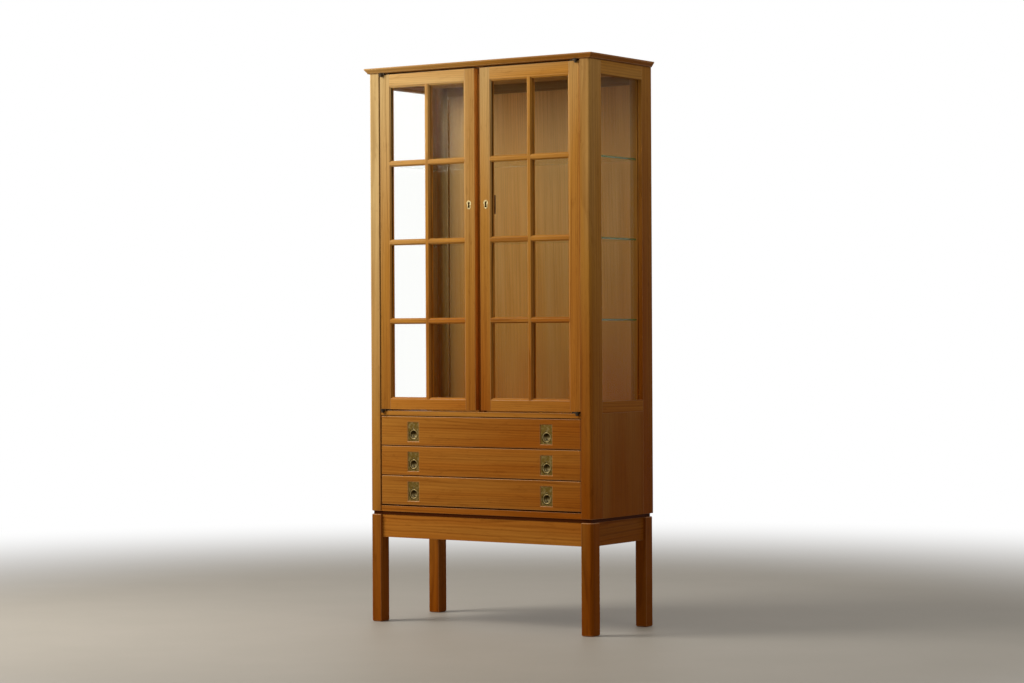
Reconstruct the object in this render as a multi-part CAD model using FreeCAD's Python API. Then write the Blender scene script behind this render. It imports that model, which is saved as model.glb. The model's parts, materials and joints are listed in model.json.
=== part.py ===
"""Glazed display cabinet on a four-legged stand, in honey-coloured wood.

Millimetres, +Z up. The front faces -Y. The origin is the bottom centre of the whole piece.
Heights are stacked from the floor, and depths are taken back from the faces of the front posts.
"""
import FreeCAD
import Part
import math
import os

from FreeCAD import Vector

os.makedirs("parts", exist_ok=True)

# Carcass outline
carcass_width = 830.0
carcass_depth = 354.0
corner_radius = 9.5
face_step = 3.0
arris = 1.2
end_chamfer = 1.6

# Heights, from the floor up
leg_height = 340.5
shadow_gap_height = 10.0
bottom_rail_height = 18.0
drawer_foot_gap = 4.2
drawer_front_height = 91.0
drawer_gap = 2.6
drawer_count = 3
door_rail_height = 14.5
pivot_gap = 5.0
door_height = 1055.5
spacer_height = 5.0
cornice_height = 16.5

# Stand
leg_width = 38.5
leg_depth = 43.0
foot_chamfer = 3.0
apron_height = 72.0
apron_thickness = 20.0
apron_setback = 9.0
block_side = 46.0
block_height = 40.0
shadow_inset = 7.0
shadow_frame_width = 34.0

# Posts and side frames
post_width = 38.0
post_depth = 62.0
post_nose = 26.0
back_post_depth = 56.0
side_thickness = 24.0
side_top_rail = 37.5
side_mid_rail = 35.5
side_lip = 15.0
side_rebate = 9.0
side_glass_thickness = 4.0
side_bead_inset = 1.0
glass_clearance = 1.0
tongue_thickness = 8.0
tongue_length = 6.0

# Shelves of rail and board inside the carcass
rail_depth = 50.0
rail_tenon_height = 8.0
rail_tenon_length = 18.0
board_thickness = 17.5
bottom_board_thickness = 12.0
top_board_thickness = 18.0
top_board_setback = 26.0

# Back frame and panels
back_frame_thickness = 20.0
back_stile = 43.0
back_top_rail = 47.5
back_mid_rail = 60.0
back_mid_drop = 30.0
back_bottom_rail = 50.0
back_rebate = 10.0
back_lip = 6.0
back_panel_thickness = 6.0

# Cornice
cornice_reach = 12.0
cornice_lip_reach = 4.0
cornice_lip_height = 2.2
cornice_edge_height = 3.8
cornice_edge_round = 1.8
cornice_moulding_width = 33.0
spacer_inset = 6.0
spacer_width = 20.0

# Doors
door_gap = 20.5
door_side_gap = 2.75
door_thickness = 21.0
stile_face = 36.5
top_rail_face = 37.0
bottom_rail_face = 32.5
lip_bevel = 6.0
lip_bevel_depth = 4.5
lip_depth = 12.0
glass_rebate = 8.0
door_tenon_length = 28.0
door_tenon_front = 5.0
door_tenon_shoulder = 9.0
bar_width = 18.5
bar_flat = 9.5
bar_bevel_depth = 4.5
bar_web = 3.5
cross_bar_count = 3
pane_thickness = 3.0
pane_clearance = 1.0
bead_set_in = 0.5
bead_reach_stile = 5.5
bead_reach_bar = 7.0

# Centre mullion between the doors
mullion_side_gap = 1.4
mullion_setback = 17.0
mullion_depth = 16.5
mullion_tenon = 6.0

# Pivot hinges
pivot_from_edge = 9.0
pivot_forward = 2.0
eye_radius = 6.0
leaf_thickness = 2.4
leaf_width = 11.0
leaf_length = 26.0
leaf_setback = 3.0
barrel_length = 6.5
barrel_gap = 0.3
pivot_pin_radius = 2.5
pivot_clearance = 0.06

# Door locks
lock_height = 58.0
lock_width = 35.5
lock_depth = 12.0
lock_edge_inset = 1.0
lock_level = 1307.5
key_from_edge = 21.5
bolt_height = 20.0
bolt_thickness = 6.0
bolt_length = 24.0
bolt_setback = 4.0
bolt_throw = 7.0
bolt_clearance = 0.15
strike_clearance = 0.5
key_radius = 3.75
key_slot_width = 3.2
key_foot_radius = 3.0
escutcheon_head_radius = 8.5
escutcheon_foot_radius = 6.6
escutcheon_waist = 8.6
escutcheon_height = 26.5
escutcheon_thickness = 2.0
escutcheon_proud = 0.5

# Glass shelves and their pins
shelf_thickness = 6.0
shelf_end_gap = 3.0
shelf_front_gap = 2.0
shelf_back_gap = 7.0
pin_radius = 2.5
pin_depth = 9.0
pin_tongue_length = 8.0
pin_tongue_width = 9.0
pin_from_front = 45.0
pin_from_back = 37.0

# Drawers
drawer_side_gap = 3.0
drawer_arris = 2.0
drawer_front_thickness = 21.0
drawer_side_thickness = 12.0
drawer_side_inset = 6.0
drawer_side_height = 76.0
drawer_side_lift = 5.0
drawer_back_clearance = 26.0
drawer_back_thickness = 12.0
drawer_back_drop = 7.0
drawer_back_setin = 14.0
drawer_housing = 4.0
drawer_bottom_thickness = 5.0
drawer_bottom_lift = 5.0
drawer_groove = 5.0
dovetail_length = 8.0
dovetail_neck = 6.0
dovetail_head = 8.6
runner_height = 11.5
runner_groove_depth = 6.0
runner_clearance = 0.3
runner_start = 30.0
runner_back_gap = 10.0

# Sunken ring pulls
pull_from_end = 124.0
plate_drop = 2.4
plate_width = 41.5
plate_height = 59.0
plate_thickness = 2.0
plate_corner = 1.2
plate_sink = 1.8
pan_inset = 2.5
pan_depth = 15.0
ring_radius = 14.0
ring_wire = 2.3
ring_section_sides = 6
ring_turn_sides = 28
ring_drop = 8.8
ring_seat_gap = 0.9
ring_sink = 0.4
hinge_rise = 10.5
ring_stem_half = 2.4
ring_pin_radius = 1.8
ring_pin_half = 9.0
ring_pin_clearance = 0.05
finger_bowl_radius = 10.8
finger_bowl_floor_radius = 6.5
finger_bowl_depth = 13.2
overrun = 1.0

# Places worked out from the sizes above
half_width = carcass_width / 2
front = -(carcass_depth - cornice_reach) / 2
back = front + carcass_depth
carcass_base = leg_height + shadow_gap_height
bottom_rail_top = carcass_base + bottom_rail_height
drawer_pitch = drawer_front_height + drawer_gap
drawer_base = bottom_rail_top + drawer_foot_gap
door_rail_base = drawer_base + drawer_count * drawer_pitch
door_rail_top = door_rail_base + door_rail_height
door_base = door_rail_top + pivot_gap
door_top = door_base + door_height
cornice_base = door_top + spacer_height
overall_height = cornice_base + cornice_height
inner_face = half_width - side_thickness
post_inner = half_width - post_width
side_front = front + post_depth
side_back = back - back_post_depth
panel_front = back - back_frame_thickness
step_front = front + face_step
barrel_radius = pivot_forward + face_step - barrel_gap
door_back = step_front + door_thickness
side_glass_base = door_rail_top + side_mid_rail
side_glass_top = door_top - side_top_rail


def box(x0, x1, y0, y1, z0, z1):
    """Rectangular block between two corners."""
    return Part.makeBox(x1 - x0, y1 - y0, z1 - z0, Vector(x0, y0, z0))


def rod(radius, start, end):
    """Round bar between two points."""
    axis = end - start
    return Part.makeCylinder(radius, axis.Length, start, axis)


def closed_wire(points):
    """Wire through points; a three-point item (through, to) marks an arc from the point before it."""
    edges = []
    last = points[0]
    for item in points[1:] + [points[0]]:
        if isinstance(item, tuple):
            edges.append(Part.Arc(last, item[0], item[1]).toShape())
            last = item[1]
        else:
            edges.append(Part.LineSegment(last, item).toShape())
            last = item
    return Part.Wire(edges)


def prism(points, travel):
    """Solid swept from a flat outline along one straight line."""
    return Part.Face(closed_wire(points)).extrude(travel)


def corner_arc(centre_x, centre_y, x_way, y_way, level):
    """Quarter round from the face that looks along X to the face that looks along Y."""
    root = math.sqrt(2.0)
    through = Vector(centre_x + x_way * corner_radius / root, centre_y + y_way * corner_radius / root, level)
    end = Vector(centre_x, centre_y + y_way * corner_radius, level)
    return through, end


def mirrored(shape):
    """The same piece on the other side of the cabinet."""
    return shape.mirror(Vector(0, 0, 0), Vector(1, 0, 0))


def end_edges(shape, level, skip=()):
    """Straight and round edges lying flat at one height, apart from those that cross a skipped place."""
    chosen = []
    for edge in shape.Edges:
        bounds = edge.BoundBox
        flat = abs(bounds.ZMin - level) < overrun / 100 and abs(bounds.ZMax - level) < overrun / 100
        if flat and not any(test(bounds.Center) for test in skip):
            chosen.append(edge)
    return chosen


def save(name, *shapes):
    """Write one node, made of one solid or of a group of separate solids."""
    shape = shapes[0] if len(shapes) == 1 else Part.makeCompound(list(shapes))
    for solid in shape.Solids:
        assert solid.isValid() and solid.Volume > 0, name
    shape.exportStep("parts/" + name + ".step")


# Stand


def leg(y_way):
    """Right leg: square inner corners, round outer corner, chamfered top and foot."""
    outer_y = front if y_way < 0 else back
    inner_y = outer_y - y_way * leg_depth
    inner_x = half_width - leg_width
    arc_y = outer_y - y_way * corner_radius
    outline = [
        Vector(inner_x, outer_y, 0),
        Vector(inner_x, inner_y, 0),
        Vector(half_width, inner_y, 0),
        Vector(half_width, arc_y, 0),
        corner_arc(half_width - corner_radius, arc_y, 1, y_way, 0),
    ]
    solid = prism(outline, Vector(0, 0, leg_height))
    solid = solid.makeChamfer(foot_chamfer, end_edges(solid, 0))
    return solid.makeChamfer(end_chamfer, end_edges(solid, leg_height))


apron_base = leg_height - apron_height
apron_tenon_length = leg_width / 2
apron_tenon_thickness = apron_thickness / 2
apron_tenon_shoulder = apron_height / 6


def long_apron(y_way):
    """Apron under the front or back, with a tenon at each end."""
    outer = (front if y_way < 0 else back) - y_way * apron_setback
    near, far = sorted((outer, outer - y_way * apron_thickness))
    reach = half_width - leg_width
    board = box(-reach, reach, near, far, apron_base, leg_height)
    middle = (near + far) / 2
    tenon = box(-reach - apron_tenon_length, reach + apron_tenon_length,
                middle - apron_tenon_thickness / 2, middle + apron_tenon_thickness / 2,
                apron_base + apron_tenon_shoulder, leg_height - apron_tenon_shoulder)
    return board.fuse(tenon).removeSplitter(), tenon


def side_apron():
    """Apron under the right side; its tenons are shorter, so that they miss those of the long aprons."""
    outer = half_width - apron_setback
    near = front + leg_depth
    far = back - leg_depth
    board = box(outer - apron_thickness, outer, near, far, apron_base, leg_height)
    reach = leg_depth - apron_setback - apron_thickness
    tenon = box(outer - apron_thickness / 2 - apron_tenon_thickness / 2,
                outer - apron_thickness / 2 + apron_tenon_thickness / 2,
                near - reach, far + reach,
                apron_base + apron_tenon_shoulder, leg_height - apron_tenon_shoulder)
    return board.fuse(tenon).removeSplitter(), tenon


def corner_block(y_way):
    """Three-cornered block glued into the right-hand corner of two aprons and notched over the leg."""
    inner_y = (front if y_way < 0 else back) - y_way * (apron_setback + apron_thickness)
    inner_x = half_width - apron_setback - apron_thickness
    outline = [
        Vector(inner_x, inner_y, leg_height - block_height),
        Vector(inner_x - block_side, inner_y, leg_height - block_height),
        Vector(inner_x, inner_y - y_way * block_side, leg_height - block_height),
    ]
    block = prism(outline, Vector(0, 0, block_height))
    leg_y = (front if y_way < 0 else back) - y_way * leg_depth
    near, far = sorted((inner_y + y_way * overrun, leg_y))
    notch = box(half_width - leg_width, half_width, near, far, 0, leg_height + overrun)
    return block.cut(notch)


def build_stand():
    """Four legs, four aprons, the corner blocks and the recessed frame that carries the carcass."""
    front_apron, front_tenon = long_apron(-1)
    back_apron, back_tenon = long_apron(1)
    right_apron, right_tenon = side_apron()
    front_leg = leg(-1).cut(front_tenon).cut(right_tenon)
    back_leg = leg(1).cut(back_tenon).cut(right_tenon)
    save("front_legs", mirrored(front_leg), front_leg)
    save("back_legs", mirrored(back_leg), back_leg)
    save("front_apron", front_apron)
    save("back_apron", back_apron)
    save("side_aprons", mirrored(right_apron), right_apron)
    blocks = [corner_block(-1), corner_block(1)]
    save("corner_blocks", *[mirrored(block) for block in blocks], *blocks)

    outer_x = half_width - shadow_inset
    front_bar = box(-outer_x, outer_x, front + shadow_inset, front + shadow_inset + shadow_frame_width,
                    leg_height, carcass_base)
    back_bar = box(-outer_x, outer_x, back - shadow_inset - shadow_frame_width, back - shadow_inset,
                   leg_height, carcass_base)
    side_bar = box(outer_x - shadow_frame_width, outer_x,
                   front + shadow_inset + shadow_frame_width, back - shadow_inset - shadow_frame_width,
                   leg_height, carcass_base)
    save("shadow_gap_frame", front_bar, back_bar, mirrored(side_bar), side_bar)


# Posts, rails and side frames


def side_rebate_cutter():
    """Space behind the lips of the right side opening that takes the glass and its beads."""
    return box(inner_face - overrun, half_width - side_lip, side_front - side_rebate, side_back + side_rebate,
               side_glass_base - side_rebate, side_glass_top + side_rebate)


def panel_groove(y_from, y_to):
    """Groove for the tongue of the lower side panel."""
    middle = half_width - side_thickness / 2
    return box(middle - tongue_thickness / 2, middle + tongue_thickness / 2, y_from, y_to,
               carcass_base - overrun, door_rail_top)


def front_post():
    """Right front post: round outer corner, a wide nose beside the doors, and a thinner side stile."""
    nose_back = front + post_nose
    outline = [
        Vector(post_inner, front, carcass_base),
        Vector(post_inner, nose_back, carcass_base),
        Vector(inner_face, nose_back, carcass_base),
        Vector(inner_face, side_front, carcass_base),
        Vector(half_width, side_front, carcass_base),
        Vector(half_width, front + corner_radius, carcass_base),
        corner_arc(half_width - corner_radius, front + corner_radius, 1, -1, carcass_base),
    ]
    solid = prism(outline, Vector(0, 0, cornice_base - carcass_base))
    hidden = (lambda p: p.y > front + corner_radius and p.x < half_width - overrun,)
    solid = solid.makeChamfer(end_chamfer, end_edges(solid, carcass_base, hidden))
    return solid.cut(side_rebate_cutter()).cut(panel_groove(side_front - tongue_length, side_front + overrun))


def back_post():
    """Right back post, which is the back stile of the side frame."""
    solid = box(inner_face, half_width, side_back, back, carcass_base, cornice_base)
    return solid.cut(side_rebate_cutter()).cut(panel_groove(side_back - overrun, side_back + tongue_length))


def side_rail(z0, z1):
    """Right side rail between the posts, with its glass rebate and a tenon at each end."""
    rail = box(inner_face, half_width, side_front, side_back, z0, z1).cut(side_rebate_cutter())
    length = rail_tenon_length
    middle = half_width - side_lip / 2
    half = rail_tenon_height / 2
    shoulder = side_rebate + overrun
    low = z0 + shoulder if z1 > side_glass_top else z0 + overrun
    high = z1 - overrun if z1 > side_glass_top else z1 - shoulder
    tenon = box(middle - half, middle + half, side_front - length, side_back + length, low, high)
    return rail.fuse(tenon).removeSplitter(), tenon


def side_panel():
    """Right lower panel, flush with the posts, with a tongue along each upright edge."""
    panel = box(inner_face, half_width, side_front, side_back, carcass_base, door_rail_top)
    middle = half_width - side_thickness / 2
    tongue = box(middle - tongue_thickness / 2, middle + tongue_thickness / 2,
                 side_front - tongue_length, side_back + tongue_length, carcass_base, door_rail_top)
    return panel.fuse(tongue).removeSplitter()


def side_glass():
    """Right side pane in its rebate."""
    reach = side_rebate - glass_clearance
    outer = half_width - side_lip
    return box(outer - side_glass_thickness, outer, side_front - reach, side_back + reach,
               side_glass_base - reach, side_glass_top + reach)


def side_beads():
    """Four beads that hold the right side pane from inside."""
    outer = half_width - side_lip - side_glass_thickness
    width = side_rebate - side_bead_inset
    low = side_glass_base - side_rebate
    high = side_glass_top + side_rebate
    near = side_front - side_rebate
    far = side_back + side_rebate
    return [
        box(inner_face, outer, near, near + width, low, high),
        box(inner_face, outer, far - width, far, low, high),
        box(inner_face, outer, near + width, far - width, low, low + width),
        box(inner_face, outer, near + width, far - width, high - width, high),
    ]


def pin_places():
    """Places of the shelf pins along the depth, and the levels of the shelf undersides."""
    levels = [bar_level(row) - shelf_thickness / 2 for row in range(cross_bar_count)]
    return (front + pin_from_front, back - pin_from_back), levels


def shelf_pin(y, level, grow):
    """Round shank of one pin in the right side, and the flat tongue that the shelf lies on."""
    axis = level - pin_radius
    shank = rod(pin_radius + grow, Vector(inner_face, y, axis), Vector(inner_face + pin_depth, y, axis))
    tongue_half = pin_tongue_width / 2
    tongue = box(inner_face - pin_tongue_length, inner_face, y - tongue_half, y + tongue_half, axis, level)
    return shank if grow else shank.fuse(tongue).removeSplitter()


def build_sides():
    """Posts, side rails, lower panels, side panes with their beads, and the shelf pins."""
    top_rail, top_tenon = side_rail(side_glass_top, cornice_base)
    mid_rail, mid_tenon = side_rail(door_rail_top, side_glass_base)
    near = front_post().cut(top_tenon).cut(mid_tenon).cut(rail_tenons())
    far = back_post().cut(top_tenon).cut(mid_tenon)
    depths, levels = pin_places()
    pins = []
    for level in levels:
        near = near.cut(shelf_pin(depths[0], level, pivot_clearance))
        far = far.cut(shelf_pin(depths[1], level, pivot_clearance))
        pins += [shelf_pin(depth, level, 0) for depth in depths]
    save("front_right_post", near)
    save("front_left_post", mirrored(near))
    save("back_posts", mirrored(far), far)
    save("side_rails", mirrored(top_rail), mirrored(mid_rail), top_rail, mid_rail)
    save("side_panels", mirrored(side_panel()), side_panel())
    save("side_panes", mirrored(side_glass()), side_glass())
    beads = side_beads()
    save("side_glazing_beads", *[mirrored(bead) for bead in beads], *beads)
    save("shelf_pins", *[mirrored(pin) for pin in pins], *pins)


# Rails and boards across the carcass


def rail_span(z0, z1):
    """Height that the tenons of a front rail take."""
    middle = (z0 + z1) / 2
    return middle - rail_tenon_height / 2, middle + rail_tenon_height / 2


def rail_tenons():
    """Tenons of both front rails, as they enter the right post."""
    shoulder = post_nose / 3
    blocks = []
    for z0, z1 in ((carcass_base, bottom_rail_top), (door_rail_base, door_rail_top)):
        low, high = rail_span(z0, z1)
        reach = post_inner + rail_tenon_length
        blocks.append(box(0, reach, step_front + shoulder, front + post_nose, low, high))
    return Part.makeCompound(blocks)


def front_rail(z0, z1):
    """Rail across the front, set back from the posts, with a tenon at each end."""
    low, high = rail_span(z0, z1)
    shoulder = post_nose / 3
    reach = post_inner + rail_tenon_length
    rail = box(-post_inner, post_inner, step_front, step_front + rail_depth, z0, z1)
    tenon = box(-reach, reach, step_front + shoulder, front + post_nose, low, high)
    return rail.fuse(tenon).removeSplitter()


def mullion():
    """Narrow upright between the doors, with a strike mortise for each bolt and a stub at each end."""
    half = door_gap / 2 - mullion_side_gap
    near = step_front + mullion_setback
    far = near + mullion_depth
    upright = box(-half, half, near, far, door_rail_top, mullion_top())
    stub = box(-half / 2, half / 2, near + mullion_depth / 4, far - mullion_depth / 4,
               door_rail_top - mullion_tenon, mullion_top() + mullion_tenon)
    solid = upright.fuse(stub).removeSplitter()
    bolt_near = door_back + bolt_setback - strike_clearance
    bolt_far = door_back + bolt_setback + bolt_thickness + strike_clearance
    rise = bolt_height / 2 + strike_clearance
    thrown_tip = door_near + lock_edge_inset - bolt_throw
    strike_depth = half - thrown_tip + strike_clearance
    for way in (-1, 1):
        x0, x1 = sorted((way * (half - strike_depth), way * (half + overrun)))
        solid = solid.cut(box(x0, x1, bolt_near, bolt_far, lock_level - rise, lock_level + rise))
    return solid, stub


def mullion_top():
    """Underside of the top board, where the mullion ends."""
    return door_top - top_board_thickness


def build_carcass_boards():
    """Front rails, boards, centre mullion and drawer runners."""
    upright, stub = mullion()
    top_front = front + top_board_setback
    top_board = box(-inner_face, inner_face, top_front, panel_front, mullion_top(), door_top)
    notch = box(-door_gap / 2, door_gap / 2, top_front - overrun, top_front, mullion_top(), door_top)
    save("centre_mullion", upright)
    save("carcass_top", top_board.cut(stub).cut(notch))
    save("door_rail", front_rail(door_rail_base, door_rail_top).cut(stub))
    save("bottom_rail", front_rail(carcass_base, bottom_rail_top))
    board_front = step_front + rail_depth
    save("display_floor", box(-inner_face, inner_face, board_front, panel_front,
                              door_rail_top - board_thickness, door_rail_top))
    save("bottom_board", box(-inner_face, inner_face, board_front, panel_front,
                             carcass_base, carcass_base + bottom_board_thickness))
    runners = [runner(index) for index in range(drawer_count)]
    save("drawer_runners", *[mirrored(piece) for piece in runners], *runners)


def back_rail(z0, z1, rebates):
    """Rail of the back frame with a rebate along the edges that hold a panel."""
    reach = inner_face - back_stile
    rail = box(-reach, reach, panel_front, back, z0, z1)
    for low, high in rebates:
        rail = rail.cut(box(-reach, reach, panel_front + back_lip, back + overrun, low, high))
    return rail


def build_back():
    """Back frame of two stiles and three rails, and the two veneered panels held in it."""
    reach = inner_face - back_stile
    mid_top = door_rail_top + back_mid_rail - back_mid_drop
    mid_base = door_rail_top - back_mid_drop
    low_top = carcass_base + back_bottom_rail
    high_base = door_top - back_top_rail
    stile = box(reach, inner_face, panel_front, back, carcass_base, door_top)
    for low, high in ((low_top, mid_base), (mid_top, high_base)):
        stile = stile.cut(box(reach - overrun, reach + back_rebate, panel_front + back_lip, back + overrun,
                              low - back_rebate, high + back_rebate))
    rails = [
        back_rail(carcass_base, low_top, ((low_top - back_rebate, low_top),)),
        back_rail(mid_base, mid_top, ((mid_base, mid_base + back_rebate), (mid_top - back_rebate, mid_top))),
        back_rail(high_base, door_top, ((high_base, high_base + back_rebate),)),
    ]
    save("back_frame", mirrored(stile), stile, *rails)
    panels = []
    for low, high in ((low_top, mid_base), (mid_top, high_base)):
        side = reach + back_rebate - glass_clearance
        grow = back_rebate - glass_clearance
        near = panel_front + back_lip
        panels.append(box(-side, side, near, near + back_panel_thickness, low - grow, high + grow))
    save("back_panels", *panels)


# Cornice


def cornice_section(place):
    """Moulding outline from a function that puts (reach past the post face, height) in space."""
    inner = cornice_reach - cornice_moulding_width
    top = overall_height
    lean = cornice_edge_round * (1 - 1 / math.sqrt(2.0))
    return [
        place(inner, cornice_base),
        place(cornice_lip_reach, cornice_base),
        place(cornice_lip_reach, cornice_base + cornice_lip_height),
        place(cornice_reach, top - cornice_edge_height),
        place(cornice_reach, top - cornice_edge_round),
        (place(cornice_reach - lean, top - lean), place(cornice_reach - cornice_edge_round, top)),
        place(inner, top),
    ]


def build_cornice():
    """Flat top panel, the mitred moulding on three sides, and the two strips under it between the posts."""
    far_x = half_width + cornice_reach
    far_y = front - cornice_reach
    front_strip = prism(cornice_section(lambda out, z: Vector(-far_x, front - out, z)),
                        Vector(2 * far_x, 0, 0))
    side_strip = prism(cornice_section(lambda out, z: Vector(half_width + out, far_y, z)),
                       Vector(0, back - far_y, 0))
    size = cornice_moulding_width + overrun
    mitre = prism([Vector(far_x + overrun, far_y - overrun, cornice_base - overrun),
                   Vector(far_x + overrun, far_y + size + overrun, cornice_base - overrun),
                   Vector(far_x - size, far_y + size, cornice_base - overrun),
                   Vector(far_x, far_y, cornice_base - overrun)],
                  Vector(0, 0, cornice_height + 2 * overrun))
    corner = prism([Vector(far_x + overrun, far_y - overrun, cornice_base - overrun),
                    Vector(far_x - size - overrun, far_y - overrun, cornice_base - overrun),
                    Vector(far_x - size, far_y + size, cornice_base - overrun),
                    Vector(far_x, far_y, cornice_base - overrun)],
                   Vector(0, 0, cornice_height + 2 * overrun))
    front_strip = front_strip.cut(mitre).cut(mirrored(mitre))
    side_strip = side_strip.cut(corner)
    save("cornice_mouldings", front_strip, mirrored(side_strip), side_strip)
    inner = cornice_moulding_width - cornice_reach
    save("top_panel", box(-half_width + inner, half_width - inner, front + inner, back,
                          cornice_base, overall_height))

    front_y = front + top_board_setback
    back_y = back - spacer_inset
    save("cornice_spacers",
         box(-inner_face, inner_face, front_y, front_y + spacer_width, door_top, cornice_base),
         box(-inner_face, inner_face, back_y - spacer_width, back_y, door_top, cornice_base))


# Doors

door_near = door_gap / 2
door_far = post_inner - door_side_gap
opening_near = door_near + stile_face + lip_bevel
opening_far = door_far - stile_face - lip_bevel
opening_base = door_base + bottom_rail_face + lip_bevel
opening_top = door_top - top_rail_face - lip_bevel
bar_middle = (opening_near + opening_far) / 2
bar_pitch = (opening_top - opening_base + bar_width) / (cross_bar_count + 1)


def bar_level(row):
    """Middle height of a cross bar, counted from the bottom."""
    return opening_base - bar_width / 2 + (row + 1) * bar_pitch


def frame_section(face, place):
    """Stile or rail outline: a bevelled lip on the front and a rebate behind it."""
    inner = face + lip_bevel
    return [
        place(0, 0),
        place(face, 0),
        place(inner, lip_bevel_depth),
        place(inner, lip_depth),
        place(inner - glass_rebate, lip_depth),
        place(inner - glass_rebate, door_thickness),
        place(0, door_thickness),
    ]


def bar_section(place):
    """Glazing bar outline: a flat with a bevel on each side, and a web between the panes."""
    flat = bar_flat / 2
    half = bar_width / 2
    web = bar_web / 2
    return [
        place(-flat, 0),
        place(flat, 0),
        place(half, bar_bevel_depth),
        place(half, lip_depth),
        place(web, lip_depth),
        place(web, door_thickness),
        place(-web, door_thickness),
        place(-web, lip_depth),
        place(-half, lip_depth),
        place(-half, bar_bevel_depth),
    ]


def door_stiles():
    """Meeting stile and hinge stile of the right door."""
    rise = Vector(0, 0, door_height)
    near = frame_section(stile_face, lambda w, d: Vector(door_near + w, step_front + d, door_base))
    far = frame_section(stile_face, lambda w, d: Vector(door_far - w, step_front + d, door_base))
    meeting = prism(near, rise)
    hinge = prism(far, rise)
    return meeting, hinge


def door_rail_piece(face, outer, way, stiles):
    """Top or bottom rail of the right door, scribed to the stiles, and its tenons."""
    span = Vector(door_far - door_near, 0, 0)
    section = frame_section(face, lambda w, d: Vector(door_near, step_front + d, outer + way * w))
    rail = prism(section, span)
    for stile in stiles:
        rail = rail.cut(stile)
    z0, z1 = sorted((outer + way * door_tenon_shoulder, outer + way * (face - door_tenon_shoulder / 2)))
    tenon = box(opening_near - door_tenon_length, opening_far + door_tenon_length,
                step_front + door_tenon_front, step_front + lip_depth, z0, z1)
    return rail.fuse(tenon).removeSplitter(), tenon


def glazing_bars(frame):
    """Upright bar and the short cross bars of the right door, scribed where they meet."""
    reach = glass_rebate
    upright = prism(bar_section(lambda w, d: Vector(bar_middle + w, step_front + d, opening_base - reach)),
                    Vector(0, 0, opening_top - opening_base + 2 * reach))
    for piece in frame:
        upright = upright.cut(piece)
    bars = [upright]
    for row in range(cross_bar_count):
        level = bar_level(row)
        cross = prism(bar_section(lambda w, d: Vector(opening_near - reach, step_front + d, level + w)),
                      Vector(opening_far - opening_near + 2 * reach, 0, 0))
        for piece in frame + [upright]:
            cross = cross.cut(piece)
        bars += cross.Solids
    return bars


def pane_cells():
    """Clear opening of each of the eight panes, with how far its rebates reach on each side."""
    bar_rebate = (bar_width - bar_web) / 2
    columns = (
        (opening_near, bar_middle - bar_width / 2, glass_rebate, bar_rebate),
        (bar_middle + bar_width / 2, opening_far, bar_rebate, glass_rebate),
    )
    cells = []
    for row in range(cross_bar_count + 1):
        low = opening_base + row * bar_pitch
        high = low + bar_pitch - bar_width
        low_reach = glass_rebate if row == 0 else bar_rebate
        high_reach = glass_rebate if row == cross_bar_count else bar_rebate
        for x0, x1, left_reach, right_reach in columns:
            cells.append((x0 - left_reach, x1 + right_reach, low - low_reach, high + high_reach))
    return cells


def bead_width(edge):
    """Width of a bead against a stile or rail, or against a bar."""
    frame_edges = (opening_near - glass_rebate, opening_far + glass_rebate,
                   opening_base - glass_rebate, opening_top + glass_rebate)
    at_frame = any(abs(edge - place) < overrun / 100 for place in frame_edges)
    return bead_reach_stile if at_frame else bead_reach_bar


def panes_and_beads():
    """Eight panes of the right door and the four beads behind each."""
    glass_near = step_front + lip_depth
    bead_near = glass_near + pane_thickness
    bead_far = door_back - bead_set_in
    panes = []
    beads = []
    for x0, x1, z0, z1 in pane_cells():
        gap = pane_clearance
        panes.append(box(x0 + gap, x1 - gap, glass_near, bead_near, z0 + gap, z1 - gap))
        left, right, low, high = (bead_width(edge) for edge in (x0, x1, z0, z1))
        beads.append(box(x0, x0 + left, bead_near, bead_far, z0, z1))
        beads.append(box(x1 - right, x1, bead_near, bead_far, z0, z1))
        beads.append(box(x0 + left, x1 - right, bead_near, bead_far, z0, z0 + low))
        beads.append(box(x0 + left, x1 - right, bead_near, bead_far, z1 - high, z1))
    return panes, beads


key_x = door_near + key_from_edge
key_head_level = lock_level + escutcheon_height / 2 - escutcheon_head_radius
key_foot_level = lock_level - escutcheon_height / 2 + escutcheon_foot_radius


def keyhole(y0, y1):
    """Round hole with a slot down to a smaller round hole, cut from front to back."""
    head = rod(key_radius, Vector(key_x, y0, key_head_level), Vector(key_x, y1, key_head_level))
    foot = rod(key_foot_radius, Vector(key_x, y0, key_foot_level), Vector(key_x, y1, key_foot_level))
    half = key_slot_width / 2
    slot = box(key_x - half, key_x + half, y0, y1, key_foot_level, key_head_level)
    return head.fuse(slot).fuse(foot).removeSplitter()


def escutcheon_blank():
    """Keyhole-shaped plate: a round head, a waist and a rounded foot."""
    near = step_front - escutcheon_proud
    far = near + escutcheon_thickness
    head = rod(escutcheon_head_radius, Vector(key_x, near, key_head_level),
               Vector(key_x, far, key_head_level))
    foot = rod(escutcheon_foot_radius, Vector(key_x, near, key_foot_level),
               Vector(key_x, far, key_foot_level))
    waist = box(key_x - escutcheon_waist / 2, key_x + escutcheon_waist / 2, near, far,
                key_foot_level, key_head_level)
    return head.fuse(foot).fuse(waist).removeSplitter()


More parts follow.
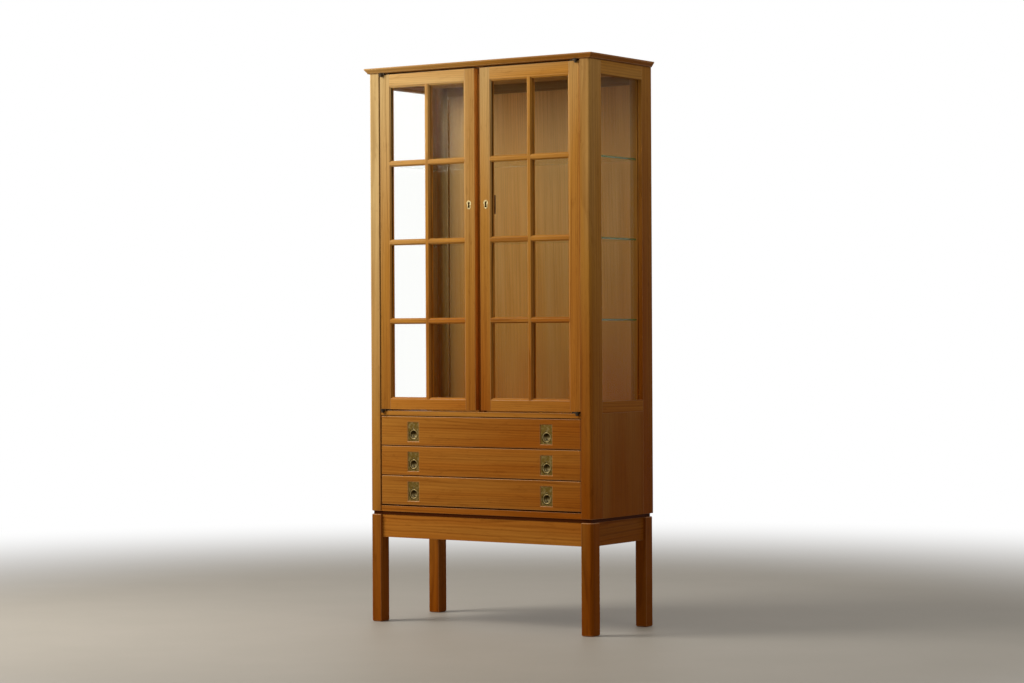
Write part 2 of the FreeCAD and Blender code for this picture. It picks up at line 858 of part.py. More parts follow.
def lock_parts():
    """Rim lock on the back of the right door's meeting stile: its case and the sliding bolt."""
    x0 = door_near + lock_edge_inset
    case = box(x0, x0 + lock_width, door_back, door_back + lock_depth,
               lock_level - lock_height / 2, lock_level + lock_height / 2)
    rear = [edge for edge in case.Edges if edge.BoundBox.YMin > door_back + lock_depth - overrun / 2]
    case = case.makeFillet(arris, rear)
    y0 = door_back + bolt_setback
    y1 = y0 + bolt_thickness
    z0 = lock_level - bolt_height / 2
    z1 = lock_level + bolt_height / 2
    bolt = box(x0, x0 + bolt_length, y0, y1, z0, z1)
    gap = bolt_clearance
    way = box(x0 - overrun, x0 + bolt_length + gap, y0 - gap, y1 + gap, z0 - gap, z1 + gap)
    case = case.cut(way).cut(keyhole(door_back - overrun, door_back + bolt_setback))
    return case, bolt


def leaf(outer_z, inner_z):
    """Flat pivot-hinge leaf of the right door, with its round eye in front of the door face."""
    low, high = sorted((outer_z, inner_z))
    axis_x, axis_y = pivot_place()
    plate = box(axis_x - leaf_length, axis_x, step_front + leaf_setback,
                step_front + leaf_setback + leaf_width, low, high)
    plate = plate.makeFillet(leaf_width / 3, [edge for edge in plate.Edges
                                              if edge.BoundBox.XMax < axis_x - leaf_length + overrun
                                              and edge.BoundBox.ZLength > leaf_thickness / 2])
    neck = box(axis_x - 2 * eye_radius, axis_x + eye_radius, axis_y, step_front + leaf_setback + leaf_width,
               low, high)
    eye = rod(eye_radius, Vector(axis_x, axis_y, low), Vector(axis_x, axis_y, high))
    return plate.fuse(neck).fuse(eye).removeSplitter()


def pivot_place():
    """Plan place of the right door's pivot."""
    return door_far - pivot_from_edge, front - pivot_forward


def pivot_hinges():
    """Both hinges of the right door: leaves on the case with their pins, and leaves on the door."""
    axis_x, axis_y = pivot_place()
    fixed = []
    moving = []
    for case_z, door_z in ((cornice_base, door_top), (door_rail_top, door_base)):
        way = 1 if door_z > case_z else -1
        case_leaf = leaf(case_z, case_z + way * leaf_thickness)
        door_leaf = leaf(door_z, door_z - way * leaf_thickness)
        barrel_way = -1
        barrel_from = door_z + leaf_thickness if way < 0 else case_z + leaf_thickness
        barrel = rod(barrel_radius, Vector(axis_x, axis_y, barrel_from),
                     Vector(axis_x, axis_y, barrel_from + barrel_way * (leaf_thickness + barrel_length)))
        pin = rod(pivot_pin_radius, Vector(axis_x, axis_y, case_z),
                  Vector(axis_x, axis_y, door_z - (barrel_length if way < 0 else 0)))
        hole = rod(pivot_pin_radius + pivot_clearance, Vector(axis_x, axis_y, case_z),
                   Vector(axis_x, axis_y, door_z + way * (overrun if way > 0 else barrel_length + overrun)))
        if way < 0:
            door_leaf = door_leaf.fuse(barrel).removeSplitter()
        else:
            case_leaf = case_leaf.fuse(barrel).removeSplitter()
        fixed.append(case_leaf.fuse(pin).removeSplitter())
        moving.append(door_leaf.cut(hole))
    return fixed, moving


def save_door(side, place):
    """Write the nodes of one door; place puts a right-hand piece on that side."""
    meeting, hinge = door_stiles()
    top, top_tenon = door_rail_piece(top_rail_face, door_top, -1, (meeting, hinge))
    low, low_tenon = door_rail_piece(bottom_rail_face, door_base, 1, (meeting, hinge))
    bars = glazing_bars([meeting, hinge, top, low])
    case, bolt = lock_parts()
    blank = escutcheon_blank()
    meeting = meeting.cut(top_tenon).cut(low_tenon).cut(blank)
    meeting = meeting.cut(keyhole(step_front - overrun, door_back + overrun))
    hinge = hinge.cut(top_tenon).cut(low_tenon)
    panes, beads = panes_and_beads()
    fixed, moving = pivot_hinges()
    save(side + "_door_frame", *map(place, (meeting, hinge, top, low)))
    save(side + "_door_glazing_bars", *map(place, bars))
    save(side + "_door_panes", *map(place, panes))
    save(side + "_door_glazing_beads", *map(place, beads))
    save(side + "_door_lock", place(case))
    save(side + "_door_bolt", place(bolt))
    save(side + "_door_escutcheon", place(blank.cut(keyhole(step_front - overrun, door_back))))
    save(side + "_door_hinge_leaves", *map(place, moving))
    return [place(piece) for piece in fixed]


def build_doors():
    """Both doors, the case leaves of their hinges and the three glass shelves."""
    fixed = save_door("right", lambda shape: shape) + save_door("left", mirrored)
    save("case_hinge_leaves", *fixed)
    end = inner_face - shelf_end_gap
    near = step_front + mullion_setback + mullion_depth + shelf_front_gap
    levels = pin_places()[1]
    save("glass_shelves", *[box(-end, end, near, panel_front - shelf_back_gap, level, level + shelf_thickness)
                            for level in levels])


# Drawers

drawer_half = post_inner - drawer_side_gap
drawer_side_outer = post_inner - drawer_side_inset
drawer_back_of_front = step_front + drawer_front_thickness
drawer_end = panel_front - drawer_back_clearance
pull_from_centre = drawer_half - pull_from_end


def runner(index):
    """Right-hand strip that one drawer hangs on."""
    middle = runner_level(index)
    tip = drawer_side_outer - runner_groove_depth + runner_clearance
    return box(tip, inner_face, front + runner_start, panel_front - runner_back_gap,
               middle - runner_height / 2, middle + runner_height / 2)


def runner_level(index):
    """Middle height of a runner."""
    return drawer_base + index * drawer_pitch + drawer_side_lift + drawer_side_height / 2


def dovetail(base):
    """Sliding dovetail that joins the right side to the drawer front."""
    middle = drawer_side_outer - drawer_side_thickness / 2
    low = base + drawer_side_lift
    neck = dovetail_neck / 2
    head = dovetail_head / 2
    near = drawer_back_of_front - dovetail_length
    return prism([Vector(middle - neck, drawer_back_of_front, low), Vector(middle - head, near, low),
                  Vector(middle + head, near, low), Vector(middle + neck, drawer_back_of_front, low)],
                 Vector(0, 0, drawer_side_height))


def drawer_side(base):
    """Right side of a drawer, with its grooves for the runner, the bottom and the back."""
    low = base + drawer_side_lift
    inner = drawer_side_outer - drawer_side_thickness
    side = box(inner, drawer_side_outer, drawer_back_of_front, drawer_end, low, low + drawer_side_height)
    side = side.fuse(dovetail(base)).removeSplitter()
    middle = low + drawer_side_height / 2
    half = runner_height / 2 + runner_clearance
    side = side.cut(box(drawer_side_outer - runner_groove_depth, drawer_side_outer + overrun,
                        front + runner_start - runner_clearance, drawer_end + overrun,
                        middle - half, middle + half))
    bottom = low + drawer_bottom_lift
    side = side.cut(box(inner - overrun, inner + drawer_groove, drawer_back_of_front, drawer_end + overrun,
                        bottom, bottom + drawer_bottom_thickness))
    back_far = drawer_end - drawer_back_setin
    return side.cut(box(inner - overrun, inner + drawer_housing, back_far - drawer_back_thickness, back_far,
                        bottom + drawer_bottom_thickness, low + drawer_side_height + overrun))


plate_face = step_front + plate_sink
ring_axis_y = plate_face + ring_sink + ring_wire
ring_floor = ring_axis_y + ring_wire + ring_sink


def plate_blank():
    """Right-hand pull plate as a solid: a thin flange with the pan behind it."""
    half_w = plate_width / 2
    half_h = plate_height / 2
    flange = box(pull_from_centre - half_w, pull_from_centre + half_w, plate_face,
                 plate_face + plate_thickness, -half_h, half_h)
    uprights = [edge for edge in flange.Edges if edge.BoundBox.YLength > plate_thickness / 2]
    flange = flange.makeChamfer(plate_corner, uprights)
    pan = box(pull_from_centre - half_w + pan_inset, pull_from_centre + half_w - pan_inset,
              plate_face + plate_thickness, step_front + pan_depth,
              -half_h + pan_inset, half_h - pan_inset)
    return flange.fuse(pan).removeSplitter()


def plate_pocket():
    """Space for the right-hand plate in a drawer front, with a bevel round its mouth."""
    half_w = plate_width / 2
    half_h = plate_height / 2
    grow = plate_sink + overrun
    mouth = Part.makeWedge(pull_from_centre - half_w - grow, step_front - overrun, -half_h - grow,
                           -half_h, pull_from_centre - half_w,
                           pull_from_centre + half_w + grow, plate_face, half_h + grow,
                           half_h, pull_from_centre + half_w)
    return mouth.fuse(plate_blank())


def pull_plate():
    """Pull plate with the round seat of the ring, a tapered finger bowl, the stem slot and the pin hole."""
    near = plate_face - overrun
    plate = plate_blank()
    seat = ring_radius + ring_wire + ring_seat_gap
    plate = plate.cut(rod(seat, Vector(pull_from_centre, near, -ring_drop),
                          Vector(pull_from_centre, ring_floor, -ring_drop)))
    dip = step_front + finger_bowl_depth - ring_floor
    rim_centre = Vector(pull_from_centre, ring_floor, -ring_drop)
    bowl = Part.makeCone(finger_bowl_radius, finger_bowl_floor_radius, dip, rim_centre, Vector(0, 1, 0))
    plate = plate.cut(bowl)
    stem = ring_stem_half + ring_seat_gap / 2
    high = hinge_rise + ring_pin_radius + ring_seat_gap / 2
    plate = plate.cut(box(pull_from_centre - stem, pull_from_centre + stem, near, ring_floor,
                          -ring_drop, high))
    reach = ring_pin_half + ring_seat_gap / 2
    hole = ring_pin_radius + ring_pin_clearance
    return plate.cut(rod(hole, Vector(pull_from_centre - reach, ring_axis_y, hinge_rise),
                         Vector(pull_from_centre + reach, ring_axis_y, hinge_rise)))


def ring_hoop(centre):
    """Hoop of flat facets round a line along Y: a many-sided section carried round in short steps."""
    def corner(step, side):
        turn = 2 * math.pi * step / ring_turn_sides
        lean = 2 * math.pi * (side + 1 / 2) / ring_section_sides
        reach = ring_radius + ring_wire * math.cos(lean)
        return centre + Vector(reach * math.cos(turn), ring_wire * math.sin(lean), reach * math.sin(turn))

    faces = []
    for step in range(ring_turn_sides):
        for side in range(ring_section_sides):
            outline = [corner(step, side), corner(step, side + 1),
                       corner(step + 1, side + 1), corner(step + 1, side)]
            faces.append(Part.Face(closed_wire(outline)))
    hoop = Part.Shell(faces)
    hoop.sewShape()
    return Part.Solid(hoop)


def pull_ring():
    """Ring with its stem and cross pin, hanging in the plate."""
    ring = ring_hoop(Vector(pull_from_centre, ring_axis_y, -ring_drop))
    stem = box(pull_from_centre - ring_stem_half, pull_from_centre + ring_stem_half,
               ring_axis_y - ring_wire / 2, ring_axis_y + ring_wire / 2, ring_radius - ring_drop, hinge_rise)
    pin = rod(ring_pin_radius, Vector(pull_from_centre - ring_pin_half, ring_axis_y, hinge_rise),
              Vector(pull_from_centre + ring_pin_half, ring_axis_y, hinge_rise))
    return ring.fuse(stem).fuse(pin).removeSplitter()


def drawer_front(base):
    """Drawer front with eased edges, dovetail housings, bottom groove and the pockets of two pulls."""
    board = box(-drawer_half, drawer_half, step_front, drawer_back_of_front, base, base + drawer_front_height)
    face_edges = [edge for edge in board.Edges if edge.BoundBox.YMax < step_front + overrun / 2]
    board = board.makeFillet(drawer_arris, face_edges)
    tail = dovetail(base)
    bottom = base + drawer_side_lift + drawer_bottom_lift
    groove_half = drawer_side_outer - drawer_side_thickness
    groove = box(-groove_half, groove_half, drawer_back_of_front - drawer_groove,
                 drawer_back_of_front + overrun, bottom, bottom + drawer_bottom_thickness)
    pocket = plate_pocket()
    pocket.translate(Vector(0, 0, base + drawer_front_height / 2 - plate_drop))
    for cutter in (tail, mirrored(tail), groove, pocket, mirrored(pocket)):
        board = board.cut(cutter)
    return board


def build_drawer(index, name):
    """Write one drawer: front, box, pull plates and both rings."""
    base = drawer_base + index * drawer_pitch
    pull_middle = Vector(0, 0, base + drawer_front_height / 2 - plate_drop)
    side = drawer_side(base)
    inner = drawer_side_outer - drawer_side_thickness
    back_far = drawer_end - drawer_back_setin
    low = base + drawer_side_lift
    bottom = low + drawer_bottom_lift
    back_half = inner + drawer_housing
    back_board = box(-back_half, back_half, back_far - drawer_back_thickness, back_far,
                     bottom + drawer_bottom_thickness, low + drawer_side_height - drawer_back_drop)
    bottom_half = inner + drawer_groove - glass_clearance
    bottom_board = box(-bottom_half, bottom_half, drawer_back_of_front, drawer_end, bottom,
                       bottom + drawer_bottom_thickness)
    tongue = box(-inner + glass_clearance, inner - glass_clearance, drawer_back_of_front - drawer_groove,
                 drawer_back_of_front, bottom, bottom + drawer_bottom_thickness)
    save(name + "_front", drawer_front(base))
    save(name + "_box", mirrored(side), side, back_board, bottom_board.fuse(tongue).removeSplitter())
    plate = pull_plate()
    ring = pull_ring()
    plate.translate(pull_middle)
    ring.translate(pull_middle)
    save(name + "_pull_plates", mirrored(plate), plate)
    save(name + "_left_ring", mirrored(ring))
    save(name + "_right_ring", ring)


build_stand()
build_sides()
build_carcass_boards()
build_back()
build_cornice()
build_doors()
for drawer_index, drawer_name in enumerate(("bottom_drawer", "middle_drawer", "top_drawer")):
    build_drawer(drawer_index, drawer_name)
print("overall", 2 * (half_width + cornice_reach), back - front + cornice_reach, overall_height)
print("nodes", len(os.listdir("parts")))
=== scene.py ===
# %% [markdown]
# # A glazed display cabinet on a four-legged stand
# The cabinet is joined from honey-coloured hardwood boards: a stand with four straight legs, a case with
# three long drawers, and above them two glazed doors with glass shelves behind. The solids of every board
# come from the CAD model, which Blender loads as a fixed frame. What is added here is what a cabinet maker
# adds with a plane, a scraper and a lacquer brush: broken arrises, grain that runs along each board, a satin
# finish, aged brass, clean glass and the small screws. The frame brings plain materials of its own. They are
# renamed first, so that the finishes made here can have the plain names.

# %% Load the frame
import json
import math
import bpy
import bmesh
import numpy as np
from mathutils import Matrix, Vector

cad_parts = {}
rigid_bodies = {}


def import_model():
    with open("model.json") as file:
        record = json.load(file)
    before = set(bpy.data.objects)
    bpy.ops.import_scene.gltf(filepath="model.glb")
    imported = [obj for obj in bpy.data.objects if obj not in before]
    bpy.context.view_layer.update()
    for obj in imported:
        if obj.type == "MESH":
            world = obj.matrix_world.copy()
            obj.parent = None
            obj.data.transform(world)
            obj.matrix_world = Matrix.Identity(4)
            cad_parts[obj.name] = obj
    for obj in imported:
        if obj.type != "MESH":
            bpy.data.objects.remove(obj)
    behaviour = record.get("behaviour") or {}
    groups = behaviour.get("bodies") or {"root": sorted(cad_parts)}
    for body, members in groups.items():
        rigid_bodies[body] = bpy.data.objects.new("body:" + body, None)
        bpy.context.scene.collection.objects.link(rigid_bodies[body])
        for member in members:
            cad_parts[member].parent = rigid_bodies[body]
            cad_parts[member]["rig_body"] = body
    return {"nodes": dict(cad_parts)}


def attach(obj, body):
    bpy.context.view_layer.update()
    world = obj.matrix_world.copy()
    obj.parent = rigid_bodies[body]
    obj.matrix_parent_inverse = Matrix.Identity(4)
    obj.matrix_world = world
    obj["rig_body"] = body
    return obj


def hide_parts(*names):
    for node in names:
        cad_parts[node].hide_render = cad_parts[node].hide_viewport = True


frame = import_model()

for packed in bpy.data.materials:
    packed.name = "packed_" + packed.name
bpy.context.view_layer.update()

# %% [markdown]
# ## The camera
# The photograph was taken from the front right, at about waist height, with a longish lens, so upright lines
# stay upright and the far side shrinks only a little. A camera is placed by three directions: where it looks,
# what is to its right and what is above it. The three make the columns of its matrix, which is easier to
# check than three turns one after the other.

# %% Camera
view_turn = math.radians(34.23)
view_pitch = math.radians(-0.19)
view_roll = math.radians(-0.28)
looks = Vector((-math.sin(view_turn) * math.cos(view_pitch), math.cos(view_turn) * math.cos(view_pitch),
                math.sin(view_pitch)))
level_right = Vector((math.cos(view_turn), math.sin(view_turn), 0))
level_up = level_right.cross(looks)
right = math.cos(view_roll) * level_right + math.sin(view_roll) * level_up
above = math.cos(view_roll) * level_up - math.sin(view_roll) * level_right
lens = bpy.data.cameras.new("viewpoint")
lens.lens = 91.24
lens.sensor_width = 36
lens.sensor_fit = "HORIZONTAL"
lens.clip_start, lens.clip_end = 0.1, 100
camera = bpy.data.objects.new("viewpoint", lens)
camera.matrix_world = Matrix((right, above, -looks)).transposed().to_4x4()
camera.location = (4.58586, -6.72176, 0.91170)
bpy.context.scene.collection.objects.link(camera)
bpy.context.scene.camera = camera
print("camera at", [round(v, 3) for v in camera.location])

# %% [markdown]
# ## Solids back from loose triangles
# The CAD nodes arrive as loose triangles. To break their arrises, the triangles first have to be joined into
# closed solids. Boards that butt together share corner points, and joining by place alone would weld them
# into one lump. So triangles are grouped by the sides they share in opposite directions, as neighbours in one
# solid do. Where two boards meet along a line, four triangles share it. They are paired in the order in which
# they are stored, because there the triangles of one board stand together.

# %% Find the solids in a node
same_place = 7  # decimals of a metre


def numbers_of(items, name, width=1, kind=float):
    """One property of all vertices, edges, loops or faces, as an array with a row for each of them."""
    values = np.empty(len(items) * width, dtype=kind)
    items.foreach_get(name, values)
    return values.reshape(-1, width) if width > 1 else values


def spread_labels(count, ends):
    """Label of every item: the lowest number that its links lead to, passed along until nothing changes."""
    label = np.arange(count)
    while True:
        low = np.minimum(label[ends[:, 0]], label[ends[:, 1]])
        spread = label.copy()
        np.minimum.at(spread, ends[:, 0], low)
        np.minimum.at(spread, ends[:, 1], low)
        spread = spread[spread]
        if np.array_equal(spread, label):
            return np.unique(label, return_inverse=True)[1].ravel()
        label = spread


def solids_of(node):
    """Corner places and triangles of a node, with the corners of separate solids kept apart.

    Sides with the same two corners are put in the order of their triangles and taken two by two. Two that run
    in opposite directions link their triangles, and linked triangles are one solid. Each solid gets corners of
    its own."""
    source = frame["nodes"][node].data
    places = np.round(numbers_of(source.vertices, "co", 3), same_place)
    points, back = np.unique(places, axis=0, return_inverse=True)
    triangles = back.ravel()[numbers_of(source.loops, "vertex_index", kind=np.int64)].reshape(-1, 3)
    start = triangles.T.ravel()
    end = np.roll(triangles, -1, axis=1).T.ravel()
    owner = np.tile(np.arange(len(triangles)), 3)
    edge = np.minimum(start, end) * len(points) + np.maximum(start, end)
    order = np.lexsort((owner, edge))
    turn = np.arange(len(order)) - np.searchsorted(edge[order], edge[order])
    opens = turn[:-1] % 2 == 0
    here, there = order[:-1][opens], order[1:][opens]
    paired = (edge[here] == edge[there]) & (start[here] == end[there])
    links = np.stack((owner[here[paired]], owner[there[paired]]), axis=1)
    solid = spread_labels(len(triangles), links)
    corner = np.repeat(solid, 3) * len(points) + triangles.ravel()
    used, fresh = np.unique(corner, return_inverse=True)
    return points[used % len(points)], fresh.ravel().reshape(-1, 3)


trial_points, trial_triangles = solids_of("left_door_frame")
print("left door frame:", len(trial_points), "corners,", len(trial_triangles), "triangles")

# %% [markdown]
# ## Broken arrises
# No maker leaves a sharp edge on a board: it is taken off with a few strokes of fine paper, and years of
# hands and dusters round it further. The Bevel modifier does this once the flat areas are whole faces again.
# It also puts a second material number on the new narrow faces, and that number is turned into a mask for
# rubbed edges, so the finish can be thinner there. Narrow slopes that a solid already has are rubbed in the
# same way. What looks up gets more of the mask, as a painted highlight where light from above catches it.

# %% Break the arrises of a node
flat_angle, arris_angle = math.radians(0.5), math.radians(32)
straight, strip_width = 0.995, 0.0013


def narrow_slopes(mesh):
    """1 for the faces that lie along no axis and are narrower than strip_width: area / longest side."""
    first = numbers_of(mesh.polygons, "loop_start", kind=np.int64)
    sides = numbers_of(mesh.polygons, "loop_total", kind=np.int64)
    places = numbers_of(mesh.vertices, "co", 3)[numbers_of(mesh.loops, "vertex_index", kind=np.int64)]
    following = np.arange(len(places)) + 1
    following[first + sides - 1] = first
    longest = np.maximum.reduceat(np.linalg.norm(places[following] - places, axis=1), first)
    narrow = numbers_of(mesh.polygons, "area") / longest < strip_width
    sloping = np.abs(numbers_of(mesh.polygons, "normal", 3)).max(axis=1) < straight
    return (sloping & narrow).astype(np.int32)


def eased(node, width):
    """Copy of a node with whole flat faces and rounded arrises, and the mask of worn edges with a painted
    highlight, highest on upper edges.
    """
    points, triangles = solids_of(node)
    mesh = bpy.data.meshes.new(node + "_eased")
    mesh.from_pydata(points, [], triangles.tolist())
    shape = bmesh.new()
    shape.from_mesh(mesh)
    bmesh.ops.dissolve_limit(shape, angle_limit=flat_angle, verts=shape.verts, edges=shape.edges)
    bmesh.ops.delete(shape, geom=[corner for corner in shape.verts if not corner.link_faces], context="VERTS")
    shape.to_mesh(mesh)
    shape.free()
    for slot in range(2):
        mesh.materials.append(None)
    rough = bpy.data.objects.new(node + "_rough", mesh)
    bpy.context.scene.collection.objects.link(rough)
    bevel = rough.modifiers.new("arris", "BEVEL")
    bevel.width = width
    bevel.segments = 2
    bevel.limit_method = "ANGLE"
    bevel.angle_limit = arris_angle
    bevel.use_clamp_overlap = False
    bevel.material = 1
    mesh.shade_smooth()
    bevel.harden_normals = True
    done = bpy.data.meshes.new_from_object(rough.evaluated_get(bpy.context.evaluated_depsgraph_get()))
    done.name = node + "_finished"
    bpy.data.objects.remove(rough)
    bpy.data.meshes.remove(mesh)
    strip = numbers_of(done.polygons, "material_index", kind=np.int32)
    # Worn edges, with more on those that look up as a painted highlight.
    upward = np.clip(numbers_of(done.polygons, "normal", 3)[:, 2], 0, 1)
    worn_and_lit_edges = np.maximum(strip, narrow_slopes(done)) * (0.75 + 0.45 * upward)
    worn_and_lit_edges = np.repeat(worn_and_lit_edges, numbers_of(done.polygons, "loop_total", kind=np.int32)).astype(np.float32)
    done.attributes.new("edge_wear_and_highlight", "FLOAT", "CORNER").data.foreach_set("value", worn_and_lit_edges)
    done.polygons.foreach_set("material_index", np.zeros(len(strip), dtype=np.int32))
    done.materials.clear()
    return done


print("edges of more than", round(math.degrees(arris_angle)), "degrees are rounded")

# %% [markdown]
# ## Grain that follows each board
# Wood isn't a pattern that runs through the whole cabinet: every board was cut from its own place in a log.
# So each solid gets its own log axis. The attribute called grain holds, at every corner, how far it is along
# the board and how far it is from that axis, across and through. A slightly tilted axis makes the growth
# rings come out as long arches, and a far one makes straight lines, as in quarter-sawn stiles. Two more
# attributes say how light a board is and how far it leans to the pale side of the timber. Both also change
# slowly over the cabinet as painted light: lighter and paler towards the top and the left, the window side.

# %% Grain coordinates for the boards of a mesh
axis_distances = {"flat": ((0.0, 0.03), (0.035, 0.06)), "rift": ((0.05, 0.09), (0.06, 0.09)),
                  "quarter": ((0.10, 0.16), (0.0, 0.02))}
axis_lean, log_length = 0.022, 40
# Painted light: tone and warmth rise upwards and fall to the right, so the top left is lighter and paler.
tone_slope, tone_spread = (1.0, 0.12, -0.05), (0.97, 1.03)
warmth_slope, warmth_spread = (0.38, 0.54, -0.26, -0.25), (-0.04, 0.04)


def mark(mesh, name, values):
    """Adds a named attribute, with one number or three for every vertex."""
    kind, field = ("FLOAT", "value") if np.ndim(values) == 1 else ("FLOAT_VECTOR", "vector")
    values = np.asarray(values, dtype=np.float32).ravel()
    mesh.attributes.new(name, kind, "POINT").data.foreach_set(field, values)


def board_numbers(mesh, places):
    """Board of every vertex, numbered from left to right, and from low to high where two are as far right."""
    label = spread_labels(len(places), numbers_of(mesh.edges, "vertices", 2, np.int64))
    count = label.max() + 1
    size = np.bincount(label, minlength=count)
    middle = np.stack([np.bincount(label, places[:, k], count) / size for k in range(3)], axis=1).round(2)
    rank = np.empty(count, dtype=np.int64)
    rank[np.lexsort((middle[:, 2], middle[:, 0]))] = np.arange(count)
    return rank[label]


def painted_light_slope(places, start, by_height, by_side, both=0.0):
    """Painted light, a slow change up and across, in metres:
    start + by_height h + by_side x + both h x, with h = z - 1.
    """
    up = places[:, 2] - 1.0
    return start + by_height * up + by_side * places[:, 0] + both * up * places[:, 0]


def lay_grain(mesh, seed, cut, tones, warmth, along=None, fine=1.0):
    """Adds grain, tone and warmth: distances along, across and through each board from its own log axis.

    The grain runs along the longest side, unless along names another, and fine above 1 packs it closer."""
    places = numbers_of(mesh.vertices, "co", 3)
    board = board_numbers(mesh, places)
    grain, tone, warm = np.empty_like(places), np.empty(len(places)), np.empty(len(places))
    for number in range(board.max() + 1):
        mine = board == number
        draw = np.random.default_rng(seed * 1009 + number * 31)
        low, high = places[mine].min(axis=0), places[mine].max(axis=0)
        axes = np.argsort(low - high)
        if along is not None:
            axes = np.array([along] + [k for k in axes if k != along])
        offset = (places[mine] - (low + high) / 2)[:, axes]
        side = draw.choice([-1.0, 1.0], 2)
        drawn = {kind: [draw.uniform(*span) for span in spans] for kind, spans in axis_distances.items()}
        across, depth = drawn[cut]
        lean = draw.uniform(-axis_lean, axis_lean, 2)
        grain[mine, 0] = offset[:, 0] + draw.uniform(0, log_length)
        grain[mine, 1] = offset[:, 1] + side[0] * across + lean[0] * offset[:, 0]
        grain[mine, 2] = offset[:, 2] + side[1] * depth + lean[1] * offset[:, 0]
        # Each board's own tone and warmth, with the painted light of the slow slopes on top.
        tone[mine] = tones[number % len(tones)] * draw.uniform(*tone_spread) * painted_light_slope(places[mine], *tone_slope)
        warm[mine] = warmth[number % len(warmth)] + draw.uniform(*warmth_spread)
        warm[mine] += painted_light_slope(places[mine], *warmth_slope)
    grain[:, 1:] *= fine
    mark(mesh, "grain", grain)
    mark(mesh, "tone", tone)
    mark(mesh, "warmth", warm)
    return int(board.max() + 1)


print("boards can be sawn", ", ".join(axis_distances))

# %% [markdown]
# ## Shader nodes, written briefly
# A material is a small network of nodes. Writing one node takes its kind, its settings and what goes into
# its sockets, so one helper does all three. A value that comes from another node is a link, and a plain
# number or colour is set on the socket.

# %% Node helpers
def add(tree, kind, inputs=None, **settings):
    """One node: settings are its own properties, and inputs maps socket names or numbers to values or links."""
    node = tree.nodes.new(kind)
    for name, value in settings.items():
        setattr(node, name, value)
    for name, value in (inputs or {}).items():
        if isinstance(value, bpy.types.NodeSocket):
            tree.links.new(value, node.inputs[name])
        else:
            node.inputs[name].default_value = value
    return node


def math_node(tree, operation, first, second=0.0, third=0.0, clamp=False):
    """Result of one sum on numbers."""
    node = add(tree, "ShaderNodeMath", {0: first, 1: second, 2: third}, operation=operation, use_clamp=clamp)
    return node.outputs[0]


def noise(tree, place, stretch, detail=3.0, roughness=0.55, distortion=0.0):
    """Noise value from 0 to 1, with the place stretched by three factors first."""
    scaled = add(tree, "ShaderNodeVectorMath", {0: place, 1: stretch}, operation="MULTIPLY").outputs[0]
    node = add(tree, "ShaderNodeTexNoise", {"Vector": scaled, "Scale": 1.0, "Detail": detail,
                                            "Roughness": roughness, "Distortion": distortion})
    return node.outputs["Fac"]


def ramp(tree, value, low, high, to_low=0.0, to_high=1.0, smooth=True):
    """Value carried from one range to another, eased at both ends and held outside the range."""
    node = add(tree, "ShaderNodeMapRange",
               {"Value": value, "From Min": low, "From Max": high, "To Min": to_low, "To Max": to_high},
               interpolation_type="SMOOTHSTEP" if smooth else "LINEAR")
    return node.outputs["Result"]


def blend_colour(tree, mask, first, second, mode="MIX"):
    """Colour between two by a mask."""
    node = add(tree, "ShaderNodeMix", {0: mask, 6: first, 7: second}, data_type="RGBA", blend_type=mode)
    return node.outputs[2]


# %% [markdown]
# An effect that several materials share is a node group with named inputs and outputs, built once and set
# with each material's own values. Every material starts from an empty network.

# %% Groups and materials to fill
COLOUR, NUMBER = "NodeSocketColor", "NodeSocketFloat"


def new_group(name, inputs, outputs):
    """Shader node group with named sockets; each item is a name, a socket type and a starting value."""
    group = bpy.data.node_groups.new(name, "ShaderNodeTree")
    for label, kind, value in inputs:
        socket = group.interface.new_socket(label, in_out="INPUT", socket_type=kind)
        socket.default_value = value
    for label, kind in outputs:
        group.interface.new_socket(label, in_out="OUTPUT", socket_type=kind)
    return group, group.nodes.new("NodeGroupInput"), group.nodes.new("NodeGroupOutput")


def new_material(name):
    """Material with no nodes yet, and its tree."""
    material = bpy.data.materials.new(name)
    material.use_nodes = True
    material.node_tree.nodes.clear()
    return material, material.node_tree


def place_group(tree, group, values):
    """A group in a material, with its inputs set."""
    node = add(tree, "ShaderNodeGroup", node_tree=group)
    for label, value in values.items():
        node.inputs[label].default_value = value
    return node


# %% [markdown]
# ## The wood
# Teak-like wood shows three things at three scales. Growth rings are dark lines a few millimetres apart,
# sharp on one side and soft on the other. Between them run fine streaks, and all over are short dark pores
# that catch a little finish. One group makes all three from the grain attribute, and every wooden material
# uses it with its own colours, so a panel and a leg are clearly the same timber, cut another way. The rings
# sway by a few millimetres, and each has its own darkness, as a year has its own weather.

# %% Wood grain group
wood_grain, wood_in, wood_out = new_group(
    "wood_grain",
    [("Pale", COLOUR, (0.70, 0.47, 0.19, 1)), ("Golden", COLOUR, (0.56, 0.25, 0.04, 1)),
     ("Deep", COLOUR, (0.40, 0.10, 0.004, 1)), ("Vein Tint", COLOUR, (0.5, 0.4, 0.28, 1)),
     ("Ring Spacing", NUMBER, 0.006), ("Ring Strength", NUMBER, 0.45),
     ("Streak Strength", NUMBER, 0.5), ("Mottle Strength", NUMBER, 0.2), ("Fineness", NUMBER, 1.0),
     ("Edge Wear And Highlight", NUMBER, 0.4)],
    [("Color", COLOUR), ("Roughness", NUMBER), ("Coat", NUMBER), ("Height", NUMBER)])
place = add(wood_grain, "ShaderNodeAttribute", attribute_name="grain").outputs["Vector"]
tone = add(wood_grain, "ShaderNodeAttribute", attribute_name="tone").outputs["Fac"]
warmth = add(wood_grain, "ShaderNodeAttribute", attribute_name="warmth").outputs["Fac"]
edge_wear_and_highlight = add(wood_grain, "ShaderNodeAttribute", attribute_name="edge_wear_and_highlight").outputs["Fac"]
painted_recess_shade = add(wood_grain, "ShaderNodeAttribute", attribute_name="painted_recess_shade").outputs["Fac"]
parts = add(wood_grain, "ShaderNodeSeparateXYZ", {0: place})
